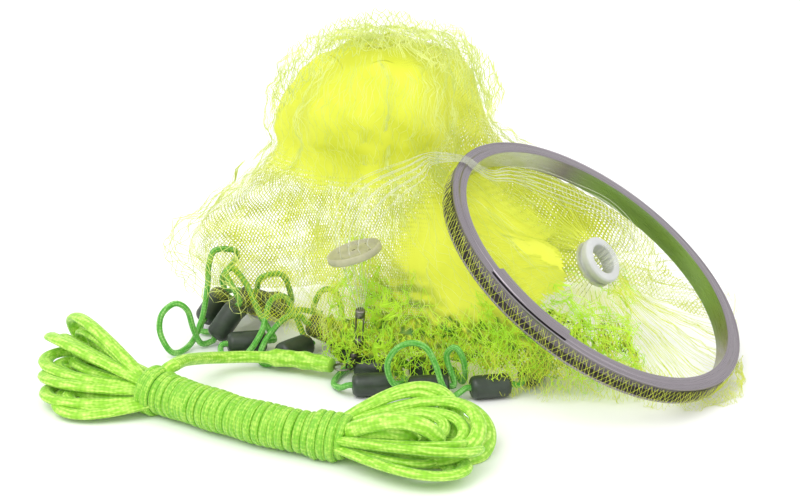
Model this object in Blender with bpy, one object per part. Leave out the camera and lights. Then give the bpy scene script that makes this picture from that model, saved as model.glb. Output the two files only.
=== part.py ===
"""A hand-thrown cast net lying in a heap, with its throwing ring, horn, brail plate, swivel, leads and
wound hand line.

The tables are in millimetres, in the layout's own frame: X to the right, Y away from the viewer, Z up, and the
floor at Z = 0. Every object hangs from one empty, which moves the whole layout so that the origin is
under the middle of its bounding box.
"""
import math

import bmesh
import bpy
import numpy as np
from mathutils import Matrix, Vector

MM = 0.001
GAP = 0.35

LAYOUT_SHIFT = (4.1, -14.39, 0.0)

# The throwing ring: a hoop of channel section, open outward, leaning on the heap.
RING_OUTER_RADIUS = 127.0
RING_INNER_RADIUS = 115.5
RING_DEPTH = 15.5
RING_WALL = 2.0
RING_CENTRE = Vector((147.5, 21.4, 88.2))
RING_SLOPE = 34.36
RING_HEADING = 65.45
RING_SEGMENTS = 56
SLEEVE_ANGLES = (158.5, 191.5)
LASHING_SEGMENTS = 40

# The horn: a round grooved collar that the top of the netting is gathered on.
HORN_RADIUS = 18.5
HORN_BORE_RADIUS = 11.5
HORN_WAIST_RADIUS = 15.4
HORN_FRONT = 8.0
HORN_BACK = 4.5
HORN_GROOVE = 4.2
HORN_ON_RING = (30.0, 3.0, -18.5)
HORN_AXIS = Vector((0.688, -0.4435, 0.574)).normalized()

# The brail plate: a dished disc with a hole for each brail line.
PLATE_RADIUS = 20.5
PLATE_THICKNESS = 5.5
PLATE_CENTRE = Vector((-33.0, -12.0, 107.0))
PLATE_AXIS = Vector((-0.295, 0.033, 0.954)).normalized()
PLATE_HOLE_CIRCLE = 13.6
PLATE_HOLE_RADIUS = 1.05

# The brail lines, clear monofilament.
BRAIL_COUNT = 8
BRAIL_DIAMETER = 0.9
CRIMP_TOP = Vector((-29.0, -7.0, 60.5))

# The swivel and the wire leader above it.
WIRE_DIAMETER = 1.4
EYE_RADIUS = 2.9
SWIVEL_AXIS = Vector((0.38, 0.0, 0.925)).normalized()
LOWER_EYE = Vector((-37.2, 1.0, 12.4))
BARREL_LENGTH = 7.4
BARREL_RADIUS = 3.3
SNAP_RING_RADIUS = 6.2
SNAP_RING_WIRE = 1.6

# The ropes.
HAND_LINE_DIAMETER = 7.0
TAIL_DIAMETER = 10.4
LEAD_LINE_DIAMETER = 4.6

# The sinkers on the lead line.
SINKER_LENGTH = 30.0
SINKER_RADIUS = 8.7
SINKER_BORE_RADIUS = LEAD_LINE_DIAMETER / 2 + 0.4

# The netting.
NETTING_THICKNESS = 1.6
NETTING_COLUMNS = 72
NETTING_ROWS = 17
NETTING_CLEARANCE = 2.3
RISE_MARGIN = 12.0
RISE_SLOPE = 1.6
CROWN = (-12.0, 92.0, 255.0)

# Horizontal sections of the heap, from the hem up. Columns: height, centre x, centre y, then the radius
# towards 0, 30, 60 ... 330 degrees, anticlockwise from +X as seen from above.
HEAP_SECTIONS = (
    (2, 20, 90, 240, 196, 146, 112, 126, 154, 177, 110, 100, 102, 127, 238),
    (30, 20, 90, 236, 198, 143, 108, 124, 155, 184, 114, 97, 97, 122, 232),
    (60, 15, 90, 215, 194, 140, 102, 118, 150, 190, 118, 92, 89, 112, 205),
    (88, 8, 90, 180, 180, 134, 96, 110, 144, 178, 115, 84, 80, 100, 165),
    (112, 0, 90, 135, 150, 126, 92, 103, 125, 144, 98, 74, 68, 88, 120),
    (150, -8, 92, 82, 108, 104, 88, 88, 92, 95, 76, 58, 54, 58, 62),
    (172, -10, 92, 62, 96, 94, 84, 84, 86, 88, 76, 64, 62, 54, 50),
    (200, -10, 92, 62, 88, 86, 80, 80, 80, 80, 76, 70, 68, 62, 56),
    (225, -10, 92, 58, 74, 72, 66, 66, 66, 66, 62, 57, 56, 56, 54),
    (243, -11, 92, 38, 44, 44, 42, 42, 44, 47, 44, 40, 38, 37, 36),
    (252, -12, 92, 20, 20, 20, 20, 20, 20, 20, 20, 20, 20, 20, 20),
)

# How far the hem is held off the floor towards 0, 30, 60 ... 330 degrees, and the height over which it fades.
HEM_LIFT = (0, 0, 0, 0, 0, 10, 36, 22, 20, 22, 16, 0)
HEM_LIFT_REACH = 80.0

# The folds. Columns: direction in degrees, half width in degrees, depth (a ridge is positive), lowest and highest
# height.
FOLDS = (
    (6, 6, 9, 0, 80),
    (19, 6, -12, 0, 125),
    (34, 7, 13, 0, 140),
    (50, 6, -12, 0, 150),
    (64, 7, 14, 0, 160),
    (80, 6, -14, 0, 165),
    (95, 7, 13, 0, 150),
    (111, 6, -14, 0, 150),
    (127, 7, 13, 0, 140),
    (143, 6, -13, 0, 130),
    (157, 6, 11, 0, 130),
    (170, 5, -9, 10, 130),
    (180, 5, 7, 20, 120),
    (190, 5, -8, 10, 125),
    (203, 6, 8, 30, 130),
    (222, 7, -10, 10, 125),
    (243, 7, -4, 10, 110),
    (258, 6, 8, 30, 120),
    (274, 6, -6, 10, 110),
    (290, 7, 9, 0, 110),
    (307, 7, -10, 0, 90),
    (323, 6, 10, 0, 70),
    (337, 6, -7, 0, 50),
    (20, 13, -9, 140, 240),
    (48, 12, 8, 150, 245),
    (84, 12, -10, 140, 240),
    (118, 13, 8, 150, 245),
    (152, 11, -9, 140, 240),
    (178, 10, 5, 150, 240),
    (200, 10, -11, 145, 235),
    (232, 14, 8, 165, 245),
    (270, 11, -9, 155, 240),
    (304, 13, 6, 165, 240),
)

# The lead line in order from its hidden start, with the sinkers that are threaded on it. A sinker's row
# holds its middle, its heading and its rise in degrees; a bend's row holds a point of the line between two sinkers.
LEAD_LINE = (
    ("bend", -62, 128, 4),
    ("bend", -78, 124, 9),
    ("sinker", -103, 116, 17, 160, 12),
    ("bend", -128, 124, 26),
    ("bend", -139, 133, 20),
    ("bend", -132, 139, 11),
    ("sinker", -108, 139, 9, 8, 0),
    ("bend", -86, 130, 16),
    ("bend", -92, 114, 42),
    ("bend", -108, 104, 44),
    ("sinker", -125, 101, 22, 205, -38),
    ("bend", -144, 90, 5),
    ("bend", -155, 92, 4),
    ("sinker", -147, 112, 17, 60, 28),
    ("bend", -140, 128, 36),
    ("bend", -128, 116, 56),
    ("bend", -129, 103, 67),
    ("bend", -143, 97, 69),
    ("bend", -148, 95, 57),
    ("bend", -149, 89, 42),
    ("bend", -153, 78, 20),
    ("bend", -161, 62, 5),
    ("bend", -173, 45, 5),
    ("bend", -182, 46, 20),
    ("bend", -181, 50, 34),
    ("bend", -171, 53, 42),
    ("bend", -162, 55, 36),
    ("bend", -158, 57, 20),
    ("bend", -153, 64, 5),
    ("sinker", -134, 74, 19, 20, 52),
    ("bend", -127, 78, 43),
    ("bend", -134, 84, 55),
    ("bend", -128, 88, 57),
    ("bend", -118, 86, 44),
    ("bend", -108, 76, 24),
    ("bend", -97, 66, 9),
    ("sinker", -117, 55, 9.5, 192, 0),
    ("bend", -137, 50, 7),
    ("bend", -134, 42, 5),
    ("bend", -118, 40, 5),
    ("bend", -105, 46, 22),
    ("bend", -99, 62, 40),
    ("bend", -88, 72, 40),
    ("bend", -80, 69, 25),
    ("bend", -72, 60, 9),
    ("sinker", -80, 41, 9.5, 225, 0),
    ("bend", -98, 27, 3),
    ("bend", -106, 33, 4),
    ("bend", -102, 42, 16),
    ("bend", -88, 52, 30),
    ("bend", -76, 58, 30),
    ("sinker", -57, 63, 16, 20, -30),
    ("bend", -37, 76, 5),
    ("bend", -44, 88, 7),
    ("bend", -60, 88, 12),
    ("bend", -67, 82, 26),
    ("bend", -60, 80, 42),
    ("bend", -50, 76, 43),
    ("bend", -45, 64, 34),
    ("bend", -46, 56, 26),
    ("sinker", -43, 38, 15, 310, -30),
    ("bend", -38, 20, 4),
    ("bend", -46, 6, 3),
    ("bend", -49, -10, 3),
    ("bend", -44, -22, 5),
    ("sinker", -20, -26, 9.2, 4, 0),
    ("bend", 2, -21, 8),
    ("bend", 5, -12, 5),
    ("bend", 2, -1, 5),
    ("sinker", -19, 6, 9.2, 170, 0),
    ("bend", -37, 16, 12),
    ("bend", -24, 23, 22),
    ("bend", -6, 20, 14),
    ("sinker", 22, 5, 9.5, -12, 0),
    ("bend", 43, -3, 6),
    ("bend", 46, -13, 6),
    ("bend", 48, -20, 15),
    ("bend", 46, -24, 29),
    ("bend", 40, -24, 38),
    ("bend", 34, -22, 30),
    ("bend", 39, -26, 14),
    ("sinker", 21, -30, 9.2, 184, 0),
    ("bend", 0, -35, 10),
    ("bend", -7, -37, 18),
    ("bend", -9, -38, 31),
    ("bend", -3, -38, 42),
    ("bend", 8, -38, 47),
    ("bend", 19, -38, 43),
    ("bend", 26, -40, 30),
    ("bend", 31, -42, 15),
    ("bend", 38, -40, 6),
    ("sinker", 66, -29, 9.2, 12, 0),
    ("bend", 87, -24, 8),
    ("sinker", 100, 0, 9.2, 62, 0),
    ("bend", 112, 20, 8),
    ("bend", 113, 36, 5),
    ("bend", 104, 52, 5),
)
LEAD_LINE_SPACING = 17.0

# The brail lines fan between an outer and an inner edge. Columns: outer x, y, z, inner x, y, z, and how far every
# second line stands off to either side. The first rows are in the layout's frame, from the plate to the ring; the
# others are in the ring's own frame, from its rim down through the horn.
BRAILS_TO_RING = (
    (-48, -6, 136, -13, -1, 130, 9.0),
    (-32, 9, 154, 2, 12, 142, 5.0),
    (2, 28, 163, 19, 24, 152, 2.5),
    (23, 43, 166, 24, 29, 160, 0.0),
)
BRAILS_ON_RING = (
    (-11.8, 125.4, 0.6, -24.0, 123.6, 0.6, 0.0),
    (-9.5, 115.6, 1.0, -21.5, 114.0, 1.0, 0.0),
    (1, 104, -0.4, -13, 99, -0.4, 0.6),
    (22, 100, -1, 13, 86, -2, 0.9),
    (50, 82, -3, 35, 64, -4, 0.9),
    (78, 54, -5, 58, 41, -6, 0.9),
    (95, 29, -6, 72, 24, -6, 0.9),
    (92, 4, -6, 66, 10, -5, 0.9),
    (70, -11, -3, 52, 5, -2, 0.9),
    (40, -12, 1, 37, 6, 1, 0.0),
    (27, -8, -10, 31, 8, -12, 0.0),
    (28, -5, -18, 32, 10, -19, 0.0),
    (27, -6, -32, 36, 14, -34, 0.0),
    (25, -8, -48, 40, 20, -50, 0.0),
)
BRAIL_SPACING = 30.0

# The hand line: its hank's wrapped middle, the bights that stand out of both ends of it, and its loose end.
HANK_AXIS = ((-180, -51, 16.4), (-147, -76, 16.4), (-112, -101, 16.4), (-76, -121, 16.4), (-36, -137, 16.4))
HANK_RADIUS = 15.4
HANK_VALLEY = 1.8
HANK_TURNS = 22
HANK_LEAN = 2.6
HANK_SIDES = 12
# Collars. Columns: first and last turn, extra radius.
HANK_COLLARS = ((0, 1, 2.3), (19, 21, 2.3))
# Bights. Columns: tip x, y, z, width, roll in degrees about its own length.
LEFT_BIGHTS = (
    (-249, 20, 47, 36, 68),
    (-263, 16, 34, 30, 30),
    (-267, -4, 24, 34, -12),
    (-263, -26, 14, 34, 10),
    (-256, -46, 7, 38, 0),
)
RIGHT_BIGHTS = (
    (60, -118, 14, 52, 28),
    (40, -124, 38, 46, 50),
    (54, -146, 38, 48, 30),
    (52, -166, 24, 44, -18),
    (40, -184, 10, 44, -6),
    (24, -168, 44, 40, -50),
)
BIGHT_STEPS = 13
BIGHT_ROOT = 9.0
BIGHT_PARTING = 9.0
TAIL_ROUTE = (
    (-163.8, -46, 32.4),
    (-158, -28, 29),
    (-147, -2, 20),
    (-133, 14, 14),
    (-112, 20, 12),
    (-84, 18, 11.5),
    (-64, 10, 12),
    (-50.7, 2.6, 12.4),
)
TAIL_SPACING = 14.0


# ---------------------------------------------------------------- frames and materials


def frame_along(axis, towards=(0.0, 1.0, 0.0)):
    """A rotation whose Z lies along axis, with its Y as near to the direction towards as it can be."""
    z = Vector(axis).normalized()
    x = Vector(towards).cross(z).normalized()
    y = z.cross(x)
    return Matrix((x, y, z)).transposed()


def pose(centre, rotation):
    return Matrix.Translation(Vector(centre)) @ rotation.to_4x4()


def ring_rotation():
    slope = Matrix.Rotation(math.radians(RING_SLOPE), 3, "X")
    return Matrix.Rotation(math.radians(RING_HEADING), 3, "Z") @ slope


RING_POSE = pose(RING_CENTRE, ring_rotation())
HORN_CENTRE = RING_POSE @ Vector(HORN_ON_RING)
HORN_POSE = pose(HORN_CENTRE, frame_along(HORN_AXIS))
PLATE_POSE = pose(PLATE_CENTRE, frame_along(PLATE_AXIS))


def plain_material(name, colour, roughness, metallic=0.0):
    material = bpy.data.materials.new(name)
    material.use_nodes = True
    shader = material.node_tree.nodes["Principled BSDF"]
    shader.inputs["Base Color"].default_value = (*colour, 1.0)
    shader.inputs["Roughness"].default_value = roughness
    shader.inputs["Metallic"].default_value = metallic
    material.diffuse_color = (*colour, 1.0)
    return material


def make_materials():
    return {
        "netting": plain_material("fluorescent netting", (0.72, 0.86, 0.05), 0.45),
        "ring": plain_material("anodised aluminium", (0.28, 0.25, 0.26), 0.35, 0.9),
        "horn": plain_material("white plastic", (0.78, 0.77, 0.84), 0.35),
        "plate": plain_material("cloudy plastic", (0.50, 0.49, 0.34), 0.4),
        "brail": plain_material("clear monofilament", (0.80, 0.84, 0.70), 0.2),
        "wire": plain_material("dark wire", (0.10, 0.10, 0.09), 0.3, 0.9),
        "lead_line": plain_material("green rope", (0.10, 0.48, 0.05), 0.6),
        "hand_line": plain_material("lime rope", (0.26, 0.75, 0.06), 0.5),
        "sinker": plain_material("coated lead", (0.05, 0.07, 0.045), 0.4),
    }


# ---------------------------------------------------------------- making objects


def add_object(name, data, material, layout):
    data.materials.append(material)
    thing = bpy.data.objects.new(name, data)
    thing.parent = layout
    bpy.context.collection.objects.link(thing)
    return thing


def closed_mesh(name, points, faces, smooth_below=40.0):
    """A mesh from points in millimetres, with its faces turned outward."""
    mesh = bpy.data.meshes.new(name)
    mesh.from_pydata([tuple(MM * c for c in point) for point in points], [], faces)
    shape = bmesh.new()
    shape.from_mesh(mesh)
    bmesh.ops.recalc_face_normals(shape, faces=shape.faces)
    shape.to_mesh(mesh)
    shape.free()
    mesh.shade_smooth()
    mesh.set_sharp_from_angle(angle=math.radians(smooth_below))
    return mesh


def turned_mesh(name, profile, segments, placed, angles=None):
    """Turns a closed profile of (radius, height) points about placed's Z, all the way or between two angles."""
    whole = angles is None
    first, last = (0.0, 360.0) if whole else angles
    steps = segments if whole else segments + 1
    points = []
    for step in range(steps):
        turn = math.radians(first + (last - first) * step / segments)
        for radius, height in profile:
            points.append(placed @ Vector((radius * math.cos(turn), radius * math.sin(turn), height)))
    count = len(profile)
    faces = []
    for step in range(segments):
        here = step * count
        there = (step + 1) % steps * count
        for k in range(count):
            after = (k + 1) % count
            faces.append((here + k, here + after, there + after, there + k))
    if not whole:
        faces.append(tuple(range(count)))
        faces.append(tuple(range(segments * count, steps * count)))
    return closed_mesh(name, points, faces)


def smooth_route(points, spacing, closed=False):
    """Points about spacing apart on a Catmull-Rom curve through the given ones."""
    given = [Vector(point) for point in points]
    count = len(given)
    if closed:
        given = [given[-1], *given, given[0], given[1]]
    else:
        given = [2 * given[0] - given[1], *given, 2 * given[-1] - given[-2]]
    route = []
    for k in range(1, len(given) - 2):
        a, b, c, d = given[k - 1 : k + 3]
        steps = max(1, round((c - b).length / spacing))
        for step in range(steps):
            t = step / steps
            route.append(
                0.5 * ((2 * b) + (c - a) * t + (2 * a - 5 * b + 4 * c - d) * t**2 + (3 * b - a - 3 * c + d) * t**3)
            )
    if not closed:
        route.append(given[count])
    return route


def tube_curve(name, route, diameter, sides=8, closed=False):
    curve = bpy.data.curves.new(name, "CURVE")
    curve.dimensions = "3D"
    spline = curve.splines.new("POLY")
    spline.points.add(len(route) - 1)
    for slot, point in zip(spline.points, route):
        slot.co = (*(Vector(point) * MM), 1.0)
    spline.use_cyclic_u = closed
    spline.use_smooth = True
    curve.bevel_depth = diameter / 2 * MM
    curve.bevel_resolution = sides // 2 - 2
    curve.use_fill_caps = True
    return curve


def tube_mesh(name, route, diameter, sides=8, closed=False):
    """The same tube as a mesh, for a Boolean."""
    curve = tube_curve(name, route, diameter, sides, closed)
    holder = bpy.data.objects.new(name, curve)
    bpy.context.collection.objects.link(holder)
    bpy.context.view_layer.update()
    mesh = bpy.data.meshes.new_from_object(holder.evaluated_get(bpy.context.evaluated_depsgraph_get()))
    bpy.data.objects.remove(holder)
    bpy.data.curves.remove(curve)
    shape = bmesh.new()
    shape.from_mesh(mesh)
    bmesh.ops.remove_doubles(shape, verts=shape.verts, dist=1e-6)
    bmesh.ops.recalc_face_normals(shape, faces=shape.faces)
    shape.to_mesh(mesh)
    shape.free()
    return mesh


def combine(target, mesh, operation, layout, solver="EXACT"):
    """Adds a Boolean to target, with the mesh on a hidden helper object."""
    tool = bpy.data.objects.new(f"{target.name}_helper", mesh)
    tool.parent = layout
    tool.hide_render = True
    tool.display_type = "WIRE"
    bpy.context.collection.objects.link(tool)
    modifier = target.modifiers.new(operation.lower(), "BOOLEAN")
    modifier.operation = operation
    modifier.solver = solver
    modifier.object = tool


# ---------------------------------------------------------------- ring, horn and plate


def make_ring(layout, materials):
    inner, outer, depth, wall = RING_INNER_RADIUS, RING_OUTER_RADIUS, RING_DEPTH, RING_WALL
    crease = inner + 0.48 * (outer - inner)
    profile = (
        (inner, -0.7),
        (inner + 0.7, 0.0),
        (crease, 0.0),
        (outer, -0.9),
        (outer - 0.5, -2.6),
        (inner + wall, -wall),
        (inner + wall, wall - depth),
        (outer, wall - depth),
        (outer, -depth),
        (inner + 0.7, -depth),
        (inner, 0.7 - depth),
    )
    mesh = turned_mesh("ring", profile, RING_SEGMENTS, RING_POSE)
    add_object("ring", mesh, materials["ring"], layout)


def make_ring_sleeve(layout, materials):
    """The splice that closes the hoop: a plate on its front with a leg down its inner wall."""
    wall = 1.5
    leg = RING_INNER_RADIUS - GAP - 0.2
    edge = RING_OUTER_RADIUS - 1.6
    profile = (
        (edge, GAP),
        (leg, GAP),
        (leg, 4.5 - RING_DEPTH),
        (leg - wall, 4.5 - RING_DEPTH),
        (leg - wall, GAP + 0.7),
        (leg - wall + 0.6, GAP + 1.3),
        (edge - 0.5, GAP + 1.3),
    )
    mesh = turned_mesh("ring_sleeve", profile, 10, RING_POSE, SLEEVE_ANGLES)
    add_object("ring_sleeve", mesh, materials["ring"], layout)


def make_lashing(layout, materials):
    """The band of netting laced into the mouth of the ring's channel."""
    inner = RING_OUTER_RADIUS - 4.2
    outer = inner + 1.3
    top = -2.45 - GAP
    bottom = RING_WALL + GAP - RING_DEPTH
    profile = ((inner, top), (outer, top), (outer, bottom), (inner, bottom))
    mesh = turned_mesh("ring_lashing", profile, LASHING_SEGMENTS, RING_POSE)
    add_object("ring_lashing", mesh, materials["netting"], layout)


def make_horn(layout, materials):
    bore, waist, rim, half = HORN_BORE_RADIUS, HORN_WAIST_RADIUS, HORN_RADIUS, HORN_GROOVE / 2
    profile = (
        (bore, HORN_FRONT - 0.8),
        (bore + 0.8, HORN_FRONT),
        (rim - 1.2, HORN_FRONT),
        (rim, HORN_FRONT - 1.2),
        (rim, half),
        (waist, half),
        (waist, -half),
        (rim, -half),
        (rim, 0.9 - HORN_BACK),
        (rim - 0.9, -HORN_BACK),
        (bore + 0.8, -HORN_BACK),
        (bore, 0.8 - HORN_BACK),
    )
    mesh = turned_mesh("horn", profile, 26, HORN_POSE)
    add_object("horn", mesh, materials["horn"], layout)


def brail_places():
    """For each line its place from the outer edge (0) to the inner one (1), and its place across the fan (-1 to 1)."""
    places = []
    for k in range(BRAIL_COUNT):
        along = 1.0 - 2.0 * (k + 0.5) / BRAIL_COUNT
        across = math.sqrt(1.0 - along**2) * (-1) ** k
        places.append((along, across))
    return places


def make_plate(layout, materials):
    half = PLATE_THICKNESS / 2
    rim = PLATE_RADIUS
    profile = (
        (1.6, half - 0.6),
        (4.6, half - 0.6),
        (5.2, half - 1.6),
        (rim - 3.2, half - 1.6),
        (rim - 2.4, half),
        (rim - 0.8, half),
        (rim, half - 0.8),
        (rim, 0.8 - half),
        (rim - 0.8, -half),
        (1.6, -half),
    )
    plate = add_object("brail_plate", turned_mesh("brail_plate", profile, 26, PLATE_POSE), materials["plate"], layout)
    for along, across in brail_places():
        middle = PLATE_POSE @ Vector((-PLATE_HOLE_CIRCLE * along, PLATE_HOLE_CIRCLE * across, 0.0))
        reach = PLATE_AXIS * PLATE_THICKNESS
        hole = tube_mesh("plate_hole", (middle - reach, middle + reach), 2 * PLATE_HOLE_RADIUS, 6)
        combine(plate, hole, "DIFFERENCE", layout)


# ---------------------------------------------------------------- brail lines, leader and swivel


def brail_route(along, across):
    """One line: from the crimp through its hole in the plate, over the ring's rim and down through the horn."""
    share = (1.0 - along) / 2
    route = [CRIMP_TOP + Vector((-2.7 * along, 2.4 * across, 1.2))]
    for height in (-0.45, 1.2):
        spot = Vector((-PLATE_HOLE_CIRCLE * along, PLATE_HOLE_CIRCLE * across, height * PLATE_THICKNESS))
        route.append(PLATE_POSE @ spot)
    for row in BRAILS_TO_RING:
        outer, inner = Vector(row[0:3]), Vector(row[3:6])
        route.append(outer.lerp(inner, share) + Vector((0.0, row[6] * across, 0.0)))
    for row in BRAILS_ON_RING:
        outer, inner = Vector(row[0:3]), Vector(row[3:6])
        route.append(RING_POSE @ (outer.lerp(inner, share) + Vector((0.0, 0.0, row[6] * across))))
    return smooth_route(route, BRAIL_SPACING)


def make_brails(layout, materials):
    for k, (along, across) in enumerate(brail_places()):
        curve = tube_curve(f"brail_{k + 1}", brail_route(along, across), BRAIL_DIAMETER, 4)
        add_object(f"brail_{k + 1}", curve, materials["brail"], layout)


def loop_route(centre, rotation, radius, half_straight=0.0, steps=12):
    """A round loop in the plane of rotation's X and Y, drawn out along Y by half_straight each way."""
    route = []
    for step in range(steps):
        turn = 2 * math.pi * step / steps
        spot = Vector((radius * math.cos(turn), radius * math.sin(turn), 0.0))
        spot.y += math.copysign(half_straight, spot.y) if half_straight else 0.0
        route.append(Vector(centre) + rotation @ spot)
    return route


def upper_eye_centre():
    return LOWER_EYE + SWIVEL_AXIS * (2 * EYE_RADIUS + BARREL_LENGTH + 2 * 1.7)


def make_leader(layout, materials):
    """The wire loop between the crimp on the brail lines and the swivel's upper eye."""
    bottom = upper_eye_centre() + SWIVEL_AXIS * 0.8
    length = (CRIMP_TOP - bottom).length
    along = (CRIMP_TOP - bottom).normalized()
    side = Vector((0.0, 1.0, 0.0)).cross(along).normalized()
    plane = Matrix((side, along, side.cross(along))).transposed()
    half_width = 2.8
    middle = bottom + along * (length - 3.0) / 2
    half_straight = (length - 3.0) / 2 - half_width
    route = loop_route(middle, plane, half_width, half_straight, 14)
    leader = add_object("leader", tube_mesh("leader", route, WIRE_DIAMETER, 6, True), materials["wire"], layout)
    upright = pose((0, 0, 0), frame_along(along))
    crimp = ((0.0, 0.0), (3.4, 0.0), (3.7, -0.8), (3.7, -5.6), (3.0, -6.4), (0.0, -6.4))
    combine(leader, capped_mesh("crimp", crimp, 14, Matrix.Translation(CRIMP_TOP) @ upright), "UNION", layout)
    ferrule = ((0.0, 2.4), (2.6, 2.4), (3.5, 1.4), (3.5, -1.4), (2.6, -2.4), (0.0, -2.4))
    seat = bottom + along * 5.6
    combine(leader, capped_mesh("ferrule", ferrule, 12, Matrix.Translation(seat) @ upright), "UNION", layout)


def capped_mesh(name, profile, segments, placed):
    """Turns a profile whose first and last points lie on the axis into a closed solid."""
    points = [placed @ Vector((0.0, 0.0, profile[0][1]))]
    rows = profile[1:-1]
    for radius, height in rows:
        for step in range(segments):
            turn = 2 * math.pi * step / segments
            points.append(placed @ Vector((radius * math.cos(turn), radius * math.sin(turn), height)))
    points.append(placed @ Vector((0.0, 0.0, profile[-1][1])))
    faces = []
    for step in range(segments):
        after = (step + 1) % segments
        faces.append((0, 1 + step, 1 + after))
        for row in range(len(rows) - 1):
            base = 1 + row * segments
            faces.append((base + step, base + segments + step, base + segments + after, base + after))
        base = 1 + (len(rows) - 1) * segments
        faces.append((len(points) - 1, base + after, base + step))
    return closed_mesh(name, points, faces)


def eye_plane(towards):
    """The plane of an eye that holds the swivel's axis and the direction towards."""
    y = SWIVEL_AXIS
    z = Vector(towards).cross(y).normalized()
    return Matrix((y.cross(z), y, z)).transposed()


def make_eye(name, centre, barrel_side, plane, layout, materials):
    """A wire eye with the stem and head that turn inside the barrel."""
    route = loop_route(centre, plane, EYE_RADIUS)
    eye = add_object(name, tube_mesh(name, route, WIRE_DIAMETER, 6, True), materials["wire"], layout)
    start = centre + barrel_side * (EYE_RADIUS - 0.2)
    end = centre + barrel_side * (EYE_RADIUS + 3.6)
    combine(eye, tube_mesh("stem", (start, end), 1.9, 8), "UNION", layout)


def make_swivel(layout, materials):
    upper = upper_eye_centre()
    barrel_middle = (LOWER_EYE + upper) / 2
    make_eye("swivel_lower_eye", LOWER_EYE, SWIVEL_AXIS, eye_plane((1.0, 0.0, 0.0)), layout, materials)
    make_eye("swivel_upper_eye", upper, -SWIVEL_AXIS, eye_plane((0.0, 1.0, 0.0)), layout, materials)
    half = BARREL_LENGTH / 2
    bore = 0.95 + GAP
    profile = (
        (bore, half),
        (2.1, half),
        (BARREL_RADIUS, half - 1.5),
        (BARREL_RADIUS, 1.5 - half),
        (2.1, -half),
        (bore, -half),
    )
    placed = pose(barrel_middle, frame_along(SWIVEL_AXIS))
    add_object("swivel_barrel", turned_mesh("swivel_barrel", profile, 14, placed), materials["wire"], layout)
    flat = Matrix.Identity(3)
    centre = LOWER_EYE + Vector((0.3 - SNAP_RING_RADIUS, 0.0, -0.7))
    curve = tube_curve("snap_ring", loop_route(centre, flat, SNAP_RING_RADIUS, steps=20), SNAP_RING_WIRE, 6, True)
    add_object("snap_ring", curve, materials["wire"], layout)


# ---------------------------------------------------------------- lead line and sinkers


def heading_vector(heading, rise):
    level = math.cos(math.radians(rise))
    turn = math.radians(heading)
    return Vector((level * math.cos(turn), level * math.sin(turn), math.sin(math.radians(rise))))


def make_lead_line(layout, materials):
    """The rope, straight through each sinker and free between them."""
    half = SINKER_LENGTH / 2
    profile = (
        (SINKER_BORE_RADIUS, half),
        (0.70 * SINKER_RADIUS, half),
        (SINKER_RADIUS, half - 3.5),
        (SINKER_RADIUS, 3.5 - half),
        (0.70 * SINKER_RADIUS, -half),
        (SINKER_BORE_RADIUS, -half),
    )
    points = []
    number = 0
    for kind, *row in LEAD_LINE:
        if kind == "bend":
            points.append(Vector(row))
            continue
        number += 1
        middle = Vector(row[:3])
        axis = heading_vector(row[3], row[4])
        points += [middle + axis * reach for reach in (-half - 3.5, -half, half, half + 3.5)]
        placed = pose(middle, frame_along(axis, (0.0, 0.0, 1.0)))
        mesh = turned_mesh(f"sinker_{number:02d}", profile, 10, placed)
        add_object(f"sinker_{number:02d}", mesh, materials["sinker"], layout)
    curve = tube_curve("lead_line", smooth_route(points, LEAD_LINE_SPACING), LEAD_LINE_DIAMETER, 6)
    add_object("lead_line", curve, materials["lead_line"], layout)


# ---------------------------------------------------------------- hand line


def hank_core():
    """The wrapped middle: a bent round bar whose turns stand as ridges, leaning a little, with thicker collars."""
    rows = 2 * HANK_TURNS
    axis = smooth_route(HANK_AXIS, 1.0)
    points = [axis[0]]
    for row in range(rows + 1):
        spot = row / rows * (len(axis) - 1)
        middle = axis[round(spot)]
        before, after = axis[max(0, round(spot) - 4)], axis[min(len(axis) - 1, round(spot) + 4)]
        along = (after - before).normalized()
        frame = frame_along(along, (0.0, 0.0, 1.0))
        turn_number = min(row // 2, HANK_TURNS - 1)
        radius = HANK_RADIUS - (HANK_VALLEY if row % 2 == 0 else 0.0)
        radius += sum(extra for first, last, extra in HANK_COLLARS if first <= turn_number <= last)
        for step in range(HANK_SIDES):
            turn = 2 * math.pi * step / HANK_SIDES
            lean = HANK_LEAN * math.sin(turn)
            points.append(middle + frame @ Vector((radius * math.cos(turn), radius * math.sin(turn), lean)))
    points.append(axis[-1])
    faces = []
    for step in range(HANK_SIDES):
        after = (step + 1) % HANK_SIDES
        faces.append((0, 1 + step, 1 + after))
        for row in range(rows):
            base = 1 + row * HANK_SIDES
            faces.append((base + step, base + HANK_SIDES + step, base + HANK_SIDES + after, base + after))
        base = 1 + rows * HANK_SIDES
        faces.append((len(points) - 1, base + after, base + step))
    return closed_mesh("hank", points, faces, 60.0)


def bight_route(root, tip, width, roll):
    """A bight: out from the root to the tip and back, widest two thirds of the way along."""
    reach = Vector(tip) - root
    frame = frame_along(reach, (0.0, 0.0, 1.0))
    side = Matrix.Rotation(math.radians(roll), 3, reach) @ frame.col[0]
    route = []
    for step in range(BIGHT_STEPS):
        t = math.pi * step / (BIGHT_STEPS - 1)
        across = width / 2 * math.sin(2 * t) + BIGHT_PARTING / 2 * math.cos(t)
        route.append(root + reach * math.sin(t) + side * across)
    return route


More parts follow.
